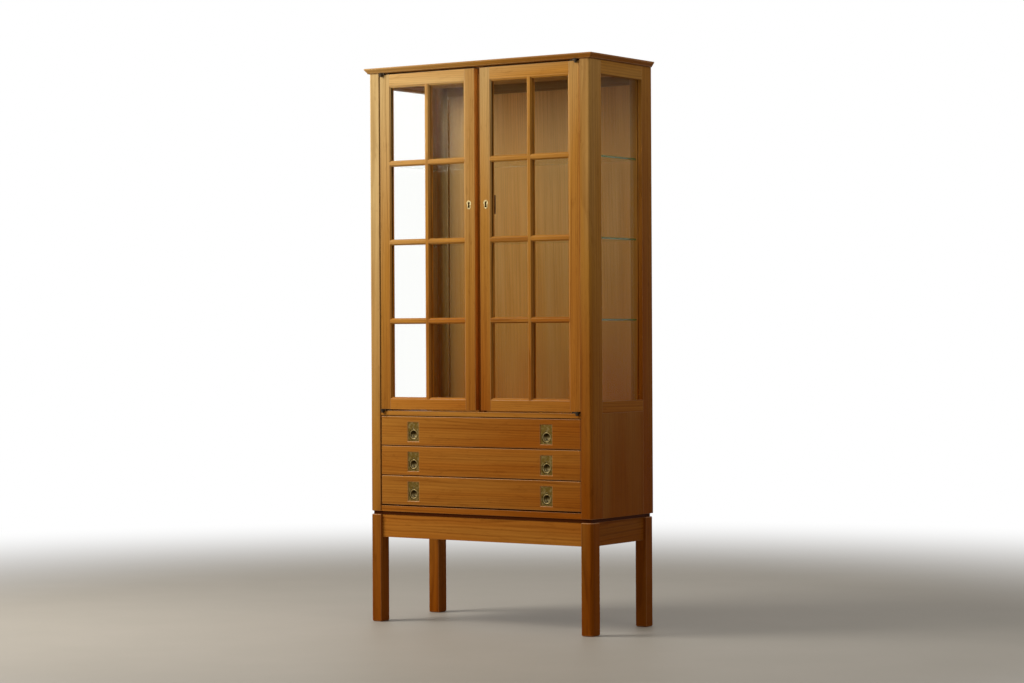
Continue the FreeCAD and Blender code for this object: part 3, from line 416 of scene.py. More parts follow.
flat_place = add(wood_grain, "ShaderNodeCombineXYZ", {1: parts.outputs[1], 2: parts.outputs[2]}).outputs[0]
distance = add(wood_grain, "ShaderNodeVectorMath", {0: flat_place}, operation="LENGTH").outputs["Value"]
sway = noise(wood_grain, place, (2.2, 16, 16), detail=2.0)
sway_amount = math_node(wood_grain, "MULTIPLY_ADD", sway, 0.016, -0.008)
ring_number = math_node(wood_grain, "DIVIDE", math_node(wood_grain, "ADD", distance, sway_amount),
                        wood_in.outputs["Ring Spacing"])
within = math_node(wood_grain, "FRACT", ring_number)
late = math_node(wood_grain, "MULTIPLY", ramp(wood_grain, within, 0.30, 0.86),
                 ramp(wood_grain, within, 1.0, 0.90))
which = add(wood_grain, "ShaderNodeTexWhiteNoise", {"W": math_node(wood_grain, "FLOOR", ring_number)},
            noise_dimensions="1D").outputs["Value"]
ring = math_node(wood_grain, "MULTIPLY", late, math_node(wood_grain, "MULTIPLY_ADD", which, 0.8, 0.3))
print("wood grain:", len(wood_grain.nodes), "nodes for the rings")

# %% [markdown]
# The streaks, the cloudy mottle, the broad shift of colour and the pores are the same noise, stretched along
# the board by less than across it: the finer the figure, the larger the factors. Veneer has finer streaks
# than solid boards, so the streaks have a factor of their own.

# %% Streaks and pores
fineness = wood_in.outputs["Fineness"]
fine_place = add(wood_grain, "ShaderNodeCombineXYZ",
                 {0: parts.outputs[0], 1: math_node(wood_grain, "MULTIPLY", parts.outputs[1], fineness),
                  2: math_node(wood_grain, "MULTIPLY", parts.outputs[2], fineness)}).outputs[0]
streak = noise(wood_grain, fine_place, (1.6, 95, 95), detail=5.0, roughness=0.62)
mottle = ramp(wood_grain, noise(wood_grain, place, (16, 75, 75), detail=3.0, distortion=1.2), 0.54, 0.74)
broad = noise(wood_grain, place, (0.9, 9, 9), detail=2.0)
pore = ramp(wood_grain, noise(wood_grain, place, (45, 1100, 1100), detail=1.0), 0.62, 0.74)
streak_mask = ramp(wood_grain, streak, 0.38, 0.72)
print("wood grain:", len(wood_grain.nodes), "nodes with streaks and pores")

# %% [markdown]
# Colour comes in layers, as a finisher builds it. The ground runs from deep orange through golden to pale by
# the warmth of the board. The figure multiplies it by a brown tint, and tone makes the board lighter or darker,
# with painted light and shade worked into it. Worn edges show a lighter ground, on upper edges also as a
# painted highlight. A near-black painted shade covers all of it in recesses and keyholes. The lacquer is
# thin everywhere, thicker only on the rounded edges, where it gathers, and missing under the painted shade.

# %% Wood colour from the masks
vein = math_node(wood_grain, "MULTIPLY", ring, wood_in.outputs["Ring Strength"])
vein = math_node(wood_grain, "MULTIPLY_ADD", streak_mask, wood_in.outputs["Streak Strength"], vein)
vein = math_node(wood_grain, "MULTIPLY_ADD", mottle, wood_in.outputs["Mottle Strength"], vein)
vein = math_node(wood_grain, "MULTIPLY_ADD", pore, 0.16, vein, clamp=True)
pale_share = math_node(wood_grain, "ADD", warmth, math_node(wood_grain, "MULTIPLY_ADD", broad, 0.7, -0.35),
                       clamp=True)
ground = blend_colour(wood_grain, ramp(wood_grain, pale_share, 0.0, 0.5, smooth=False),
                      wood_in.outputs["Deep"], wood_in.outputs["Golden"])
ground = blend_colour(wood_grain, ramp(wood_grain, pale_share, 0.5, 1.0, smooth=False), ground,
                      wood_in.outputs["Pale"])
figured = blend_colour(wood_grain, vein, ground, wood_in.outputs["Vein Tint"], "MULTIPLY")
toned = add(wood_grain, "ShaderNodeVectorMath", {0: figured, "Scale": tone}, operation="SCALE").outputs[0]
# Lighter ground on worn edges, on upper edges also a painted highlight.
worn_and_lit = math_node(wood_grain, "MULTIPLY", edge_wear_and_highlight, wood_in.outputs["Edge Wear And Highlight"])
worn_and_lit = math_node(wood_grain, "MULTIPLY", worn_and_lit, ramp(wood_grain, broad, 0.3, 0.6, 0.5, 1.0))
lighter = blend_colour(wood_grain, 0.35, ground, (0.85, 0.55, 0.28, 1))
finished = blend_colour(wood_grain, worn_and_lit, toned, lighter)
# Near-black painted shade in recesses and keyholes, with no lacquer there.
finished = blend_colour(wood_grain, painted_recess_shade, finished, (0.075, 0.016, 0.002, 1))
coating = math_node(wood_grain, "MULTIPLY_ADD", edge_wear_and_highlight, 0.25, 0.01)
coating = math_node(wood_grain, "MULTIPLY", coating, math_node(wood_grain, "SUBTRACT", 1.0, painted_recess_shade))
gloss = math_node(wood_grain, "MULTIPLY_ADD", streak, 0.16, 0.34)
gloss = math_node(wood_grain, "MULTIPLY_ADD", pore, 0.15, gloss)
height = math_node(wood_grain, "MULTIPLY_ADD", pore, -0.6, math_node(wood_grain, "MULTIPLY", streak_mask, -0.25))
for label, value in (("Color", finished), ("Roughness", gloss), ("Coat", coating), ("Height", height)):
    wood_grain.links.new(value, wood_out.inputs[label])
print("wood grain:", len(wood_grain.nodes), "nodes")

# %% [markdown]
# The group gives colours and masks, and the shader itself stays in the material. A thin satin lacquer is a
# weak clear coat over a base whose own shine is kept low, because a strong one turns deep orange wood grey
# under a bright sky. The bump is only a few hundredths of a millimetre, as an open pore under lacquer is.

# %% Wooden materials
lacquer_shine, coat_roughness, pore_depth = 0.02, 0.22, 0.00006


def wood_material(name, pale, golden, deep, vein_tint, spacing, ring_strength, streak_strength, edge_wear_and_highlight_strength,
                  mottle_strength=0.25, fineness=1.0):
    """Satin-lacquered wood with its own colours and cut."""
    material, tree = new_material(name)
    grain = place_group(tree, wood_grain, {
        "Pale": pale, "Golden": golden, "Deep": deep, "Vein Tint": vein_tint, "Ring Spacing": spacing,
        "Ring Strength": ring_strength, "Streak Strength": streak_strength, "Edge Wear And Highlight": edge_wear_and_highlight_strength,
        "Mottle Strength": mottle_strength, "Fineness": fineness})
    relief = add(tree, "ShaderNodeBump", {"Height": grain.outputs["Height"], "Distance": pore_depth,
                                          "Strength": 1.0})
    shader = add(tree, "ShaderNodeBsdfPrincipled",
                 {"Base Color": grain.outputs["Color"], "Roughness": grain.outputs["Roughness"],
                  "Normal": relief.outputs["Normal"], "Specular IOR Level": lacquer_shine,
                  "Coat Weight": grain.outputs["Coat"], "Coat Roughness": coat_roughness})
    add(tree, "ShaderNodeOutputMaterial", {"Surface": shader.outputs[0]})
    return material


honey_wood = wood_material("honey_wood", (0.70, 0.47, 0.19, 1), (0.56, 0.25, 0.04, 1), (0.40, 0.10, 0.004, 1),
                           (0.50, 0.40, 0.28, 1), 0.0062, 0.44, 0.38, 0.6)
panel_veneer = wood_material("panel_veneer", (0.66, 0.42, 0.18, 1), (0.52, 0.25, 0.06, 1),
                             (0.38, 0.106, 0.006, 1), (0.6, 0.5, 0.4, 1), 0.0026, 0.12, 0.55, 0.3,
                             mottle_strength=0.1, fineness=4.5)
inner_wood = wood_material("inner_wood", (0.52, 0.34, 0.18, 1), (0.46, 0.28, 0.13, 1), (0.40, 0.23, 0.10, 1),
                           (0.55, 0.45, 0.35, 1), 0.005, 0.4, 0.4, 0.3)
print("wooden materials:", honey_wood.name, panel_veneer.name, inner_wood.name)

# %% [markdown]
# ## A finished piece in place of its solid
# Each dressed board takes the place of its CAD node and rides on the body that the node rides on, so a door's
# stile turns with its door. Its object stays at the origin, because its place is already in its mesh.

# %% Put a finished piece in place
def finish_piece(mesh, node, material):
    """Puts a finished mesh in place of its node, riding on the same body."""
    mesh.materials.append(material)
    piece = bpy.data.objects.new(mesh.name, mesh)
    bpy.context.scene.collection.objects.link(piece)
    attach(piece, frame["nodes"][node]["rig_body"])
    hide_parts(node)
    return piece


# %% [markdown]
# ## Painted light and shade that stay in one place
# Some of the room's light and shade is painted into the tone of the wood: painted shade in the corners of the
# case and painted light where it faces the room. Soft, even lamps alone would lose that. A tone belongs to the
# corners of the mesh and runs evenly between them, so a line of corners is cut in wherever the change begins
# or ends.

# %% Tone by place
def scale_tone(mesh, factor_at, name="tone"):
    """Multiplies the tone or warmth of every vertex by a factor worked out from its place and normal."""
    now = numbers_of(mesh.attributes[name].data, "value", kind=np.float32)
    now *= factor_at(numbers_of(mesh.vertices, "co", 3), numbers_of(mesh.vertices, "normal", 3))
    mesh.attributes[name].data.foreach_set("value", now)


def cut_across(mesh, cuts):
    """Adds a line of corners to the faces of a mesh wherever a plane x = cut crosses them."""
    for cut in cuts:
        shape = bmesh.new()
        shape.from_mesh(mesh)
        bmesh.ops.bisect_plane(shape, geom=shape.verts[:] + shape.edges[:] + shape.faces[:],
                               plane_co=(cut, 0, 0), plane_no=(1, 0, 0))
        shape.to_mesh(mesh)
        shape.free()


# %% [markdown]
# The left stile of the back gets painted shade, darkest towards the panel, and a thin painted lit edge beside
# the panel, where the panel stands back. The door openings are the other way round: their faces that look to
# the right get painted light, as if they caught the open room, and are lighter than their neighbours.

# %% Painted light and shade on the back stile and the door openings
# Painted shade across the front of the left back stile, darker towards the panel.
stile_places, stile_painted_shades = (-0.391, -0.372, -0.362, -0.348, -0.347), (1.9, 1.1, 0.56, 0.56, 1.0)
stile_front = 0.1634
middle_gap = 0.01  # half the width of the strip where the doors meet


def on_stile_edge(places):
    """True on the edge of the left back stile that faces the panel."""
    return (np.abs(places[:, 0] - stile_places[3]) < 0.0003) & (places[:, 1] > stile_front)


def stile_painted_light_and_shade(places, normals):
    """Painted light and shade on the left back stile: its front darkens towards the panel, and its edge beside
    the panel is lit.
    """
    front = np.interp(places[:, 0], stile_places, stile_painted_shades)
    return np.where(on_stile_edge(places), 1.25, np.where(places[:, 1] < stile_front, front, 1.0))


def stile_edge_painted_light(places, normals):
    """Painted light: twice as warm on the lit edge of the left back stile, and 1 elsewhere."""
    return np.where(on_stile_edge(places), 2.0, 1.0)


def right_facing_painted_light(places, normals):
    """Painted light: 1.7 on the faces of the doors that look to the right, but not where the doors meet, and 1
    elsewhere.
    """
    return np.where((normals[:, 0] > 0.85) & (np.abs(places[:, 0]) > middle_gap), 1.7, 1.0)


print("back stile from", stile_places[0], "to", stile_places[3], "m")

# %% [markdown]
# A keyhole is a small dark slot, and what shows in it is the wall of the hole. In wood the wall is coloured
# near black as painted shade inside the hole, and the keyhole plate uses the same test for its own hole later.

# %% Keyholes
keyhole_middle, keyhole_reach, keyhole_low, keyhole_high = 0.03175, 0.0034, 1.2985, 1.3158


def in_keyhole(places):
    """True on the walls of the two keyholes."""
    beside = np.abs(np.abs(places[:, 0]) - keyhole_middle) < keyhole_reach
    return beside & (places[:, 2] > keyhole_low) & (places[:, 2] < keyhole_high)


print("keyhole from", keyhole_low, "to", keyhole_high, "m up")

# %% [markdown]
# ## Dressing the boards
# The table says how each node was sawn, how wide its arrises are, how light its boards are and how far they
# lean to the pale side of the timber. Where a node has several boards, they take the values of their row in
# turn, from left to right and then from low to high. The values are matched to how light the real boards
# look, so besides the wood's own colour they hold painted light and shade, as in the darker legs and back
# frame. Two boards of one frame may differ as much as the two doors do, partly because they come from
# different planks and partly as painted light and shade.

# %% Wooden pieces
boards = {
    "front_left_post": ("quarter", 0.0009, (0.86,), (0.26,)),
    "front_right_post": ("quarter", 0.0009, (0.87,), (0.065,)),
    "back_posts": ("quarter", 0.0008, (0.98, 0.81), (0.12, -0.10)),
    "side_rails": ("rift", 0.0007, (0.85, 0.85, 0.97, 0.85), (-0.12, -0.12, 0.02, -0.12)),
    "side_glazing_beads": ("quarter", 0.0004, (0.85,), (-0.1,)),
    "carcass_top": ("flat", 0.0007, (1.0,), (0.0,)),
    "display_floor": ("flat", 0.0007, (1.0,), (0.0,)),
    "bottom_rail": ("rift", 0.0008, (1.0,), (0.1,)),
    "door_rail": ("rift", 0.0008, (1.0,), (0.05,)),
    "centre_mullion": ("quarter", 0.0006, (0.9,), (-0.1,)),
    "top_panel": ("flat", 0.0008, (1.0,), (0.0,)),
    "cornice_mouldings": ("rift", 0.0012, (0.80,), (-0.28,)),
    "left_door_frame": ("quarter", 0.0009, (0.84, 1.16, 1.07, 0.88), (0.0, 0.08, -0.08, -0.06)),
    "right_door_frame": ("quarter", 0.0009, (0.90, 1.10, 1.12, 1.06), (0.04, -0.01, -0.12, 0.03)),
    "left_door_glazing_bars": ("quarter", 0.0004, (1.0,), (-0.05,)),
    "right_door_glazing_bars": ("quarter", 0.0004, (0.97,), (-0.05,)),
    "left_door_glazing_beads": ("quarter", 0.0003, (0.9,), (-0.1,)),
    "right_door_glazing_beads": ("quarter", 0.0003, (0.9,), (-0.1,)),
    "bottom_drawer_front": ("rift", 0.0007, (0.97,), (0.16,)),
    "middle_drawer_front": ("rift", 0.0007, (0.99,), (0.14,)),
    "top_drawer_front": ("rift", 0.0007, (0.95,), (0.07,)),
    "front_legs": ("quarter", 0.0009, (0.82,), (0.1,)),
    "back_legs": ("quarter", 0.0009, (0.87, 0.75), (0.2, 0.06)),
    "front_apron": ("rift", 0.0009, (1.12,), (0.27,)),
    "side_aprons": ("rift", 0.0009, (0.78,), (0.08,)),
    "back_apron": ("rift", 0.0009, (0.85,), (0.16,)),
    "back_frame": ("quarter", 0.0007, (0.62, 0.62, 0.62, 0.62, 0.80), (0.06, 0.06, 0.06, 0.06, 0.12)),
}
for seed, (node, (cut, width, tones, warm)) in enumerate(boards.items(), start=1):
    body = eased(node, width)
    in_back = node == "back_frame"
    if in_back:
        cut_across(body, stile_places[1:3])
    count = lay_grain(body, seed, cut, tones, warm, fine=3.0 if in_back else 1.0)
    # Painted light and shade on the back stile, and painted light on the faces of the doors that look right.
    if in_back:
        scale_tone(body, stile_painted_light_and_shade)
        scale_tone(body, stile_edge_painted_light, "warmth")
    elif "door_frame" in node or "door_glazing_beads" in node:
        scale_tone(body, right_facing_painted_light)
    if "door_frame" in node:
        # Painted shade: the walls of the keyholes are near black.
        mark(body, "painted_recess_shade", in_keyhole(numbers_of(body.vertices, "co", 3)))
    finish_piece(body, node, honey_wood)
    print(node, count, "boards,", len(body.polygons), "faces")

# %% [markdown]
# ## Panels
# The large panels in the back and in the lower sides are thin sheets with a fine, straight face veneer whose
# grain runs upright, along z. Seen through the glass, the back has painted light and shade: a painted lit strip
# beside the left stile, then painted shade at its left edge, and lighter towards the middle. Only its face on
# the room side is toned, and the wall side is left as it is.

# %% Veneered panels
# Painted light and shade across the room side of the back, from left to right.
panel_places = (-0.357, -0.3430, -0.3424, -0.285, -0.22, -0.08, 0.06, 0.357)
panel_painted_shades = (0.95, 0.95, 0.44, 0.83, 1.4, 1.54, 1.27, 1.27)
panel_middle = 0.172


def back_painted_light_and_shade(places, normals):
    """Painted light and shade on the room side of the back: a lit strip along the stile, then dim, and full
    from x = -0.22; 1 behind.
    """
    return np.where(places[:, 1] < panel_middle, np.interp(places[:, 0], panel_places, panel_painted_shades), 1.0)


panels = {"back_panels": (1.0, 0.1), "side_panels": (0.90, 0.04)}
for seed, (node, (tone_level, warm_level)) in enumerate(panels.items(), start=200):
    body = eased(node, 0.0006)
    if node == "back_panels":
        cut_across(body, panel_places[1:-1])
    count = lay_grain(body, seed, "quarter", (tone_level,), (warm_level,), along=2)
    if node == "back_panels":
        scale_tone(body, back_painted_light_and_shade)
    finish_piece(body, node, panel_veneer)
    print(node, count, "panels,", len(body.polygons), "faces")

# %% [markdown]
# ## Hidden woodwork
# Drawer sides, runners and corner blocks are a paler secondary wood that was only sealed. The recessed strips
# under the case and under the cornice are coloured dark as painted shade for their recess, so that the case
# seems to float on its stand. All of them use the same group and the same steps, with their own colours.

# %% Inner boards
inner = ("bottom_drawer_box", "middle_drawer_box", "top_drawer_box", "drawer_runners", "corner_blocks",
         "bottom_board", "shadow_gap_frame", "cornice_spacers")
# Painted shade in the recesses: full under the case and less under the cornice.
painted_recess_shade_depth = {"shadow_gap_frame": 1.0, "cornice_spacers": 0.4}
for seed, node in enumerate(inner, start=300):
    body = eased(node, 0.0006)
    count = lay_grain(body, seed, "rift", (1.0,), (0.0,))
    mark(body, "painted_recess_shade", np.full(len(body.vertices), painted_recess_shade_depth.get(node, 0.0)))
    finish_piece(body, node, inner_wood)
    print(node, count, "boards,", len(body.polygons), "faces")

# %% [markdown]
# ## Brass and bronze
# The pulls are old brass: warm where fingers polish it, olive and duller where lacquer and dirt have stayed.
# A single yellow metal would look new, so noise at two scales moves both the colour and the roughness, and
# the mask of worn edges lets the bright metal through along the arrises, more on upper edges as a painted
# highlight. Two attributes add what the place decides: polish, where hands reach, which in the finger bowls
# is a painted highlight, and a dark film, which is dirt round the keyholes and painted shade in the finger
# bowls and on the keyhole walls.

# %% Patina group
patina, patina_in, patina_out = new_group(
    "patina",
    [("Bright", COLOUR, (0.6, 0.45, 0.2, 1)), ("Dull", COLOUR, (0.3, 0.22, 0.09, 1)),
     ("Polished", NUMBER, 0.28), ("Rough", NUMBER, 0.5), ("Amount", NUMBER, 0.5)],
    [("Color", COLOUR), ("Roughness", NUMBER), ("Height", NUMBER)])
spot = add(patina, "ShaderNodeTexCoord").outputs["Object"]
cloud = noise(patina, spot, (85, 85, 85), detail=4.0, roughness=0.6)
speck = noise(patina, spot, (900, 900, 900), detail=2.0)
# Worn edges with a painted highlight, polish with a painted highlight in the finger bowls, and a dark film of
# dirt and painted shade.
bare_and_lit = add(patina, "ShaderNodeAttribute", attribute_name="edge_wear_and_highlight").outputs["Fac"]
polish_and_painted_light = add(patina, "ShaderNodeAttribute", attribute_name="polish_and_painted_light").outputs["Fac"]
dirt_and_painted_shade = add(patina, "ShaderNodeAttribute", attribute_name="dirt_and_painted_shade").outputs["Fac"]
film = math_node(patina, "MULTIPLY_ADD", speck, 0.35, math_node(patina, "ADD", cloud, -0.2))
film = math_node(patina, "ADD", ramp(patina, film, 0.30, 0.62), math_node(patina, "MULTIPLY", bare_and_lit, -0.6),
                 clamp=True)
film = math_node(patina, "MULTIPLY_ADD", film, 0.25, patina_in.outputs["Amount"])
film = math_node(patina, "SUBTRACT", film, polish_and_painted_light, clamp=True)
skin_colour = blend_colour(patina, film, patina_in.outputs["Bright"], patina_in.outputs["Dull"])
# Near black for the dirt and the painted shade.
skin_colour = blend_colour(patina, dirt_and_painted_shade, skin_colour, (0.022, 0.012, 0.003, 1))
more_rough = math_node(patina, "SUBTRACT", patina_in.outputs["Rough"], patina_in.outputs["Polished"])
roughness = math_node(patina, "MULTIPLY_ADD", film, more_rough, patina_in.outputs["Polished"])
patina.links.new(skin_colour, patina_out.inputs["Color"])
patina.links.new(roughness, patina_out.inputs["Roughness"])
patina.links.new(math_node(patina, "MULTIPLY", speck, 0.5), patina_out.inputs["Height"])
print("patina:", len(patina.nodes), "nodes")

# %% [markdown]
# Four metals share that patina: the aged brass of pulls and keyhole plates, the brighter brass of bolts and
# shelf pins, the dark bronze of hinges and screws, and the dark lacquered steel of the lock cases, which is
# only a little metallic.

# %% Metals
pit_depth = 0.00003


def metal_material(name, bright, dull, polished, rough, amount, metallic=1.0):
    """Metal under its own patina."""
    material, tree = new_material(name)
    skin = place_group(tree, patina, {"Bright": bright, "Dull": dull, "Polished": polished, "Rough": rough,
                                      "Amount": amount})
    relief = add(tree, "ShaderNodeBump", {"Height": skin.outputs["Height"], "Distance": pit_depth,
                                          "Strength": 1.0})
    shader = add(tree, "ShaderNodeBsdfPrincipled",
                 {"Base Color": skin.outputs["Color"], "Roughness": skin.outputs["Roughness"],
                  "Normal": relief.outputs["Normal"], "Metallic": metallic})
    add(tree, "ShaderNodeOutputMaterial", {"Surface": shader.outputs[0]})
    return material


aged_brass = metal_material("aged_brass", (0.50, 0.40, 0.20, 1), (0.115, 0.068, 0.011, 1), 0.30, 0.55, 0.82)
bolt_brass = metal_material("bolt_brass", (0.68, 0.53, 0.27, 1), (0.45, 0.33, 0.15, 1), 0.22, 0.4, 0.4)
dark_bronze = metal_material("dark_bronze", (0.10, 0.07, 0.04, 1), (0.025, 0.018, 0.012, 1), 0.32, 0.55, 0.7)
lock_case = metal_material("lock_case", (0.07, 0.04, 0.025, 1), (0.04, 0.025, 0.018, 1), 0.4, 0.6, 0.5, 0.3)
print("metals:", aged_brass.name, bolt_brass.name, dark_bronze.name, lock_case.name)

# %% [markdown]
# ## The metal parts that keep their solids
# Plates, escutcheons, hinges, locks and bolts already have their true form. They only lose their sharp
# edges, by a much finer amount than wood does. Behind each ring is a finger bowl: its lower half gets a
# painted highlight and its upper half painted shade, both stronger with depth.

# %% Metal pieces
metal_nodes = {
    "bottom_drawer_pull_plates": aged_brass, "middle_drawer_pull_plates": aged_brass,
    "top_drawer_pull_plates": aged_brass, "left_door_escutcheon": aged_brass, "right_door_escutcheon": aged_brass,
    "shelf_pins": bolt_brass, "left_door_bolt": bolt_brass, "right_door_bolt": bolt_brass,
    "case_hinge_leaves": dark_bronze, "left_door_hinge_leaves": dark_bronze,
    "right_door_hinge_leaves": dark_bronze, "left_door_lock": lock_case, "right_door_lock": lock_case,
}
plate_face, ring_drop = -0.1662, 0.0088
plate_centres = {"bottom": 0.4158, "middle": 0.5094, "top": 0.6030}
bowl_start, bowl_depth, bowl_reach = 0.003, 0.003, 0.016


def mark_metal(mesh, node):
    """Adds polish, high on the pale escutcheons and as a painted highlight low in the finger bowls, and a dark
    film: painted shade high and deep in the bowls and on the keyhole walls, and dirt round the keyholes.
    """
    places = numbers_of(mesh.vertices, "co", 3)
    polish_and_painted_light, dirt_and_painted_shade = np.zeros(len(places)), np.zeros(len(places))
    if "pull_plates" in node:
        centre = plate_centres[node.split("_")[0]] - ring_drop
        deep = np.clip((places[:, 1] - plate_face - bowl_start) / bowl_depth, 0, 1)
        up = (places[:, 2] - centre) / bowl_reach
        # Painted shade in the upper part of each finger bowl and a painted highlight in its lower part, both
        # growing with depth.
        dirt_and_painted_shade = deep * np.clip(0.30 + up, 0, 0.9)
        polish_and_painted_light = deep * np.clip(0.25 - up, 0, 0.7)
    if "escutcheon" in node:
        hole = in_keyhole(places)
        wall = places[:, 1] > places[:, 1].min() + 0.00005
        # Painted shade on the keyhole walls and dirt round the keyhole; the rest of the plate is polished.
        dirt_and_painted_shade = np.where(hole, np.where(wall, 1.0, 0.35), 0.0)
        polish_and_painted_light = 0.55 * ~hole
    mark(mesh, "polish_and_painted_light", polish_and_painted_light)
    mark(mesh, "dirt_and_painted_shade", dirt_and_painted_shade)


for node, material in metal_nodes.items():
    body = eased(node, 0.0002)
    mark_metal(body, node)
    finish_piece(body, node, material)
    print(node, len(body.polygons), "faces")

# %% [markdown]
# ## Surfaces worked out as grids
# A shape made here is a grid of points, each from two numbers: how far along and how far round. A torus is a
# small circle carried round a large one, and a turned piece is a row of radii along a line. The faces join
# neighbours in the grid. At the end all faces are turned outwards, because a grid may come out inside out.

# %% Surfaces from grids
def grid_faces(rows, columns, wrap_rows=False):
    """Corner numbers of the quads of a grid whose last column, and last row if wanted, joins the first."""
    row = np.arange(rows if wrap_rows else rows - 1)[:, None]
    column = np.arange(columns)[None, :]
    below, beside = (row + 1) % rows, (column + 1) % columns
    quads = np.stack([row * columns + column, row * columns + beside,
                      below * columns + beside, below * columns + column], axis=-1)
    return quads.reshape(-1, 4)


def hoop(centre, radius, wire, steps=56, sides=18):
    """Torus round a line along Y: centre + (radius + wire cos b)(cos a, 0, sin a) + wire sin b (0, 1, 0)."""
    a = np.linspace(0, 2 * np.pi, steps, endpoint=False)[:, None]
    b = np.linspace(0, 2 * np.pi, sides, endpoint=False)[None, :]
    reach = radius + wire * np.cos(b)
    points = np.stack([reach * np.cos(a), wire * np.sin(b) + 0 * a, reach * np.sin(a)], axis=-1)
    return points.reshape(-1, 3) + centre, grid_faces(steps, sides, wrap_rows=True)


def turned(profile, start, direction, sides=24, flatten=1.0):
    """Turned solid: at each step of the profile (distance, radius), a circle round the line, closed at the ends.

    The circle is start + distance * direction + radius (cos b * first + flatten * sin b * second), where first
    and second are square to the direction and to each other."""
    profile = np.asarray(profile, dtype=float)
    direction = np.asarray(direction, dtype=float)
    first = np.cross(direction, (0.0, 1.0, 0.0) if abs(direction[1]) < 0.9 else (1.0, 0.0, 0.0))
    first = first / np.linalg.norm(first)
    second = np.cross(direction, first)
    b = np.linspace(0, 2 * np.pi, sides, endpoint=False)[None, :, None]
    circle = np.cos(b) * first + flatten * np.sin(b) * second
    rows = np.asarray(start) + profile[:, :1, None] * direction + profile[:, 1:, None] * circle
    ends = [np.asarray(start) + profile[k, 0] * direction for k in (0, -1)]
    last = (len(profile) - 1) * sides
    near, far = sides * len(profile), sides * len(profile) + 1
    fans = [[near, (k + 1) % sides, k] for k in range(sides)]
    fans += [[far, last + k, last + (k + 1) % sides] for k in range(sides)]
    return np.concatenate([rows.reshape(-1, 3), ends]), grid_faces(len(profile), sides).tolist() + fans


def joined_mesh(name, surfaces):
    """One mesh from several closed surfaces, with every face turned outwards and shaded smooth."""
    shift = 0
    points, faces = [], []
    for surface_points, surface_faces in surfaces:
        points.append(surface_points)
        faces += [[int(corner) + shift for corner in face] for face in surface_faces]
        shift += len(surface_points)
    mesh = bpy.data.meshes.new(name)
    mesh.from_pydata(np.concatenate(points), [], faces)
    shape = bmesh.new()
    shape.from_mesh(mesh)
    bmesh.ops.recalc_face_normals(shape, faces=shape.faces)
    shape.to_mesh(mesh)
    shape.free()
    mesh.shade_smooth()
    return mesh


print("faces of a hoop:", len(hoop(np.zeros(3), 1.0, 0.1)[1]))

# %% [markdown]
# ## The rings
# Each drawer has two rings that hang flush in their plates. The CAD hoop is many-sided, so the visible one is
# made again as a true torus of the same size. The neck that joins it to its pin, the knuckle and the pin
# itself are turned shapes. Fingers keep the rings a little brighter than their plates.

# %% Rings of the pulls
pull_from_centre = 0.250
ring_axis_y, ring_radius, ring_wire = -0.1635, 0.0140, 0.0023
hinge_rise = 0.0105
neck = [(0.0, 0.0024), (0.0010, 0.0020), (0.0027, 0.0017), (0.0043, 0.0019), (0.0053, 0.0021)]
knuckle = [(-0.0023, 0.0016), (-0.0021, 0.0022), (0.0021, 0.0022), (0.0023, 0.0016)]
pin = [(-0.0090, 0.0012), (-0.0088, 0.0016), (0.0088, 0.0016), (0.0090, 0.0012)]
for level, height_of in plate_centres.items():
    for side, way in (("left", -1), ("right", 1)):
        node = f"{level}_drawer_{side}_ring"
        middle = np.array([way * pull_from_centre, ring_axis_y, height_of])
        surfaces = [hoop(middle - (0, 0, ring_drop), ring_radius, ring_wire),
                    turned(neck, middle + (0, 0, ring_radius - ring_drop), (0, 0, 1), flatten=0.85),
                    turned(knuckle, middle + (0, 0, hinge_rise), (1, 0, 0)),
                    turned(pin, middle + (0, 0, hinge_rise), (1, 0, 0), sides=16)]
        ring_mesh = joined_mesh(node + "_finished", surfaces)
        mark(ring_mesh, "polish_and_painted_light", np.full(len(ring_mesh.vertices), 0.22))
        finish_piece(ring_mesh, node, aged_brass)
print("rings:", 2 * len(plate_centres))

# %% [markdown]
# ## Screws
# Every pull plate is held by a countersunk screw with a single slot, above the ring. It is small, but a plate
# without it looks glued on. A slotted head is a disc whose height dips by the slot's depth wherever it is
# nearer than half the slot's width to a line across it. No fitter stops two slots at the same angle, so each
# has its own.

# %% Screw heads
screw_radius, screw_offset, screw_seat = 0.0021, 0.0250, 0.00015
dome_rise, slot_depth, skirt_depth = 0.00022, 0.0007, 0.0011
slot_half_width, slot_sharpness = 0.17, 60  # shares of the screw's radius


def slotted_head(centre, radius, slot_turn, rings=16, sides=64):
    """Low dome facing -Y: height = rise (1 - r squared), less the slot where its line is near; a skirt behind."""
    r = np.concatenate([np.linspace(0.04, 1, rings), [1.0]])[:, None]
    b = np.linspace(0, 2 * np.pi, sides, endpoint=False)[None, :]
    off_line = np.abs(r * np.sin(b - slot_turn))
    slot_mask = 1 / (1 + np.exp((off_line - slot_half_width) * slot_sharpness))
    out = dome_rise * (1 - r ** 2) - slot_depth * slot_mask * (r < 0.999)
    out[-1, :] = -skirt_depth
    points = np.stack([radius * r * np.cos(b), -out, radius * r * np.sin(b)], axis=-1).reshape(-1, 3) + centre
    cap = [list(range(sides))[::-1]]
    back = [list(range(rings * sides, (rings + 1) * sides))]
    return points, grid_faces(len(r), sides).tolist() + cap + back


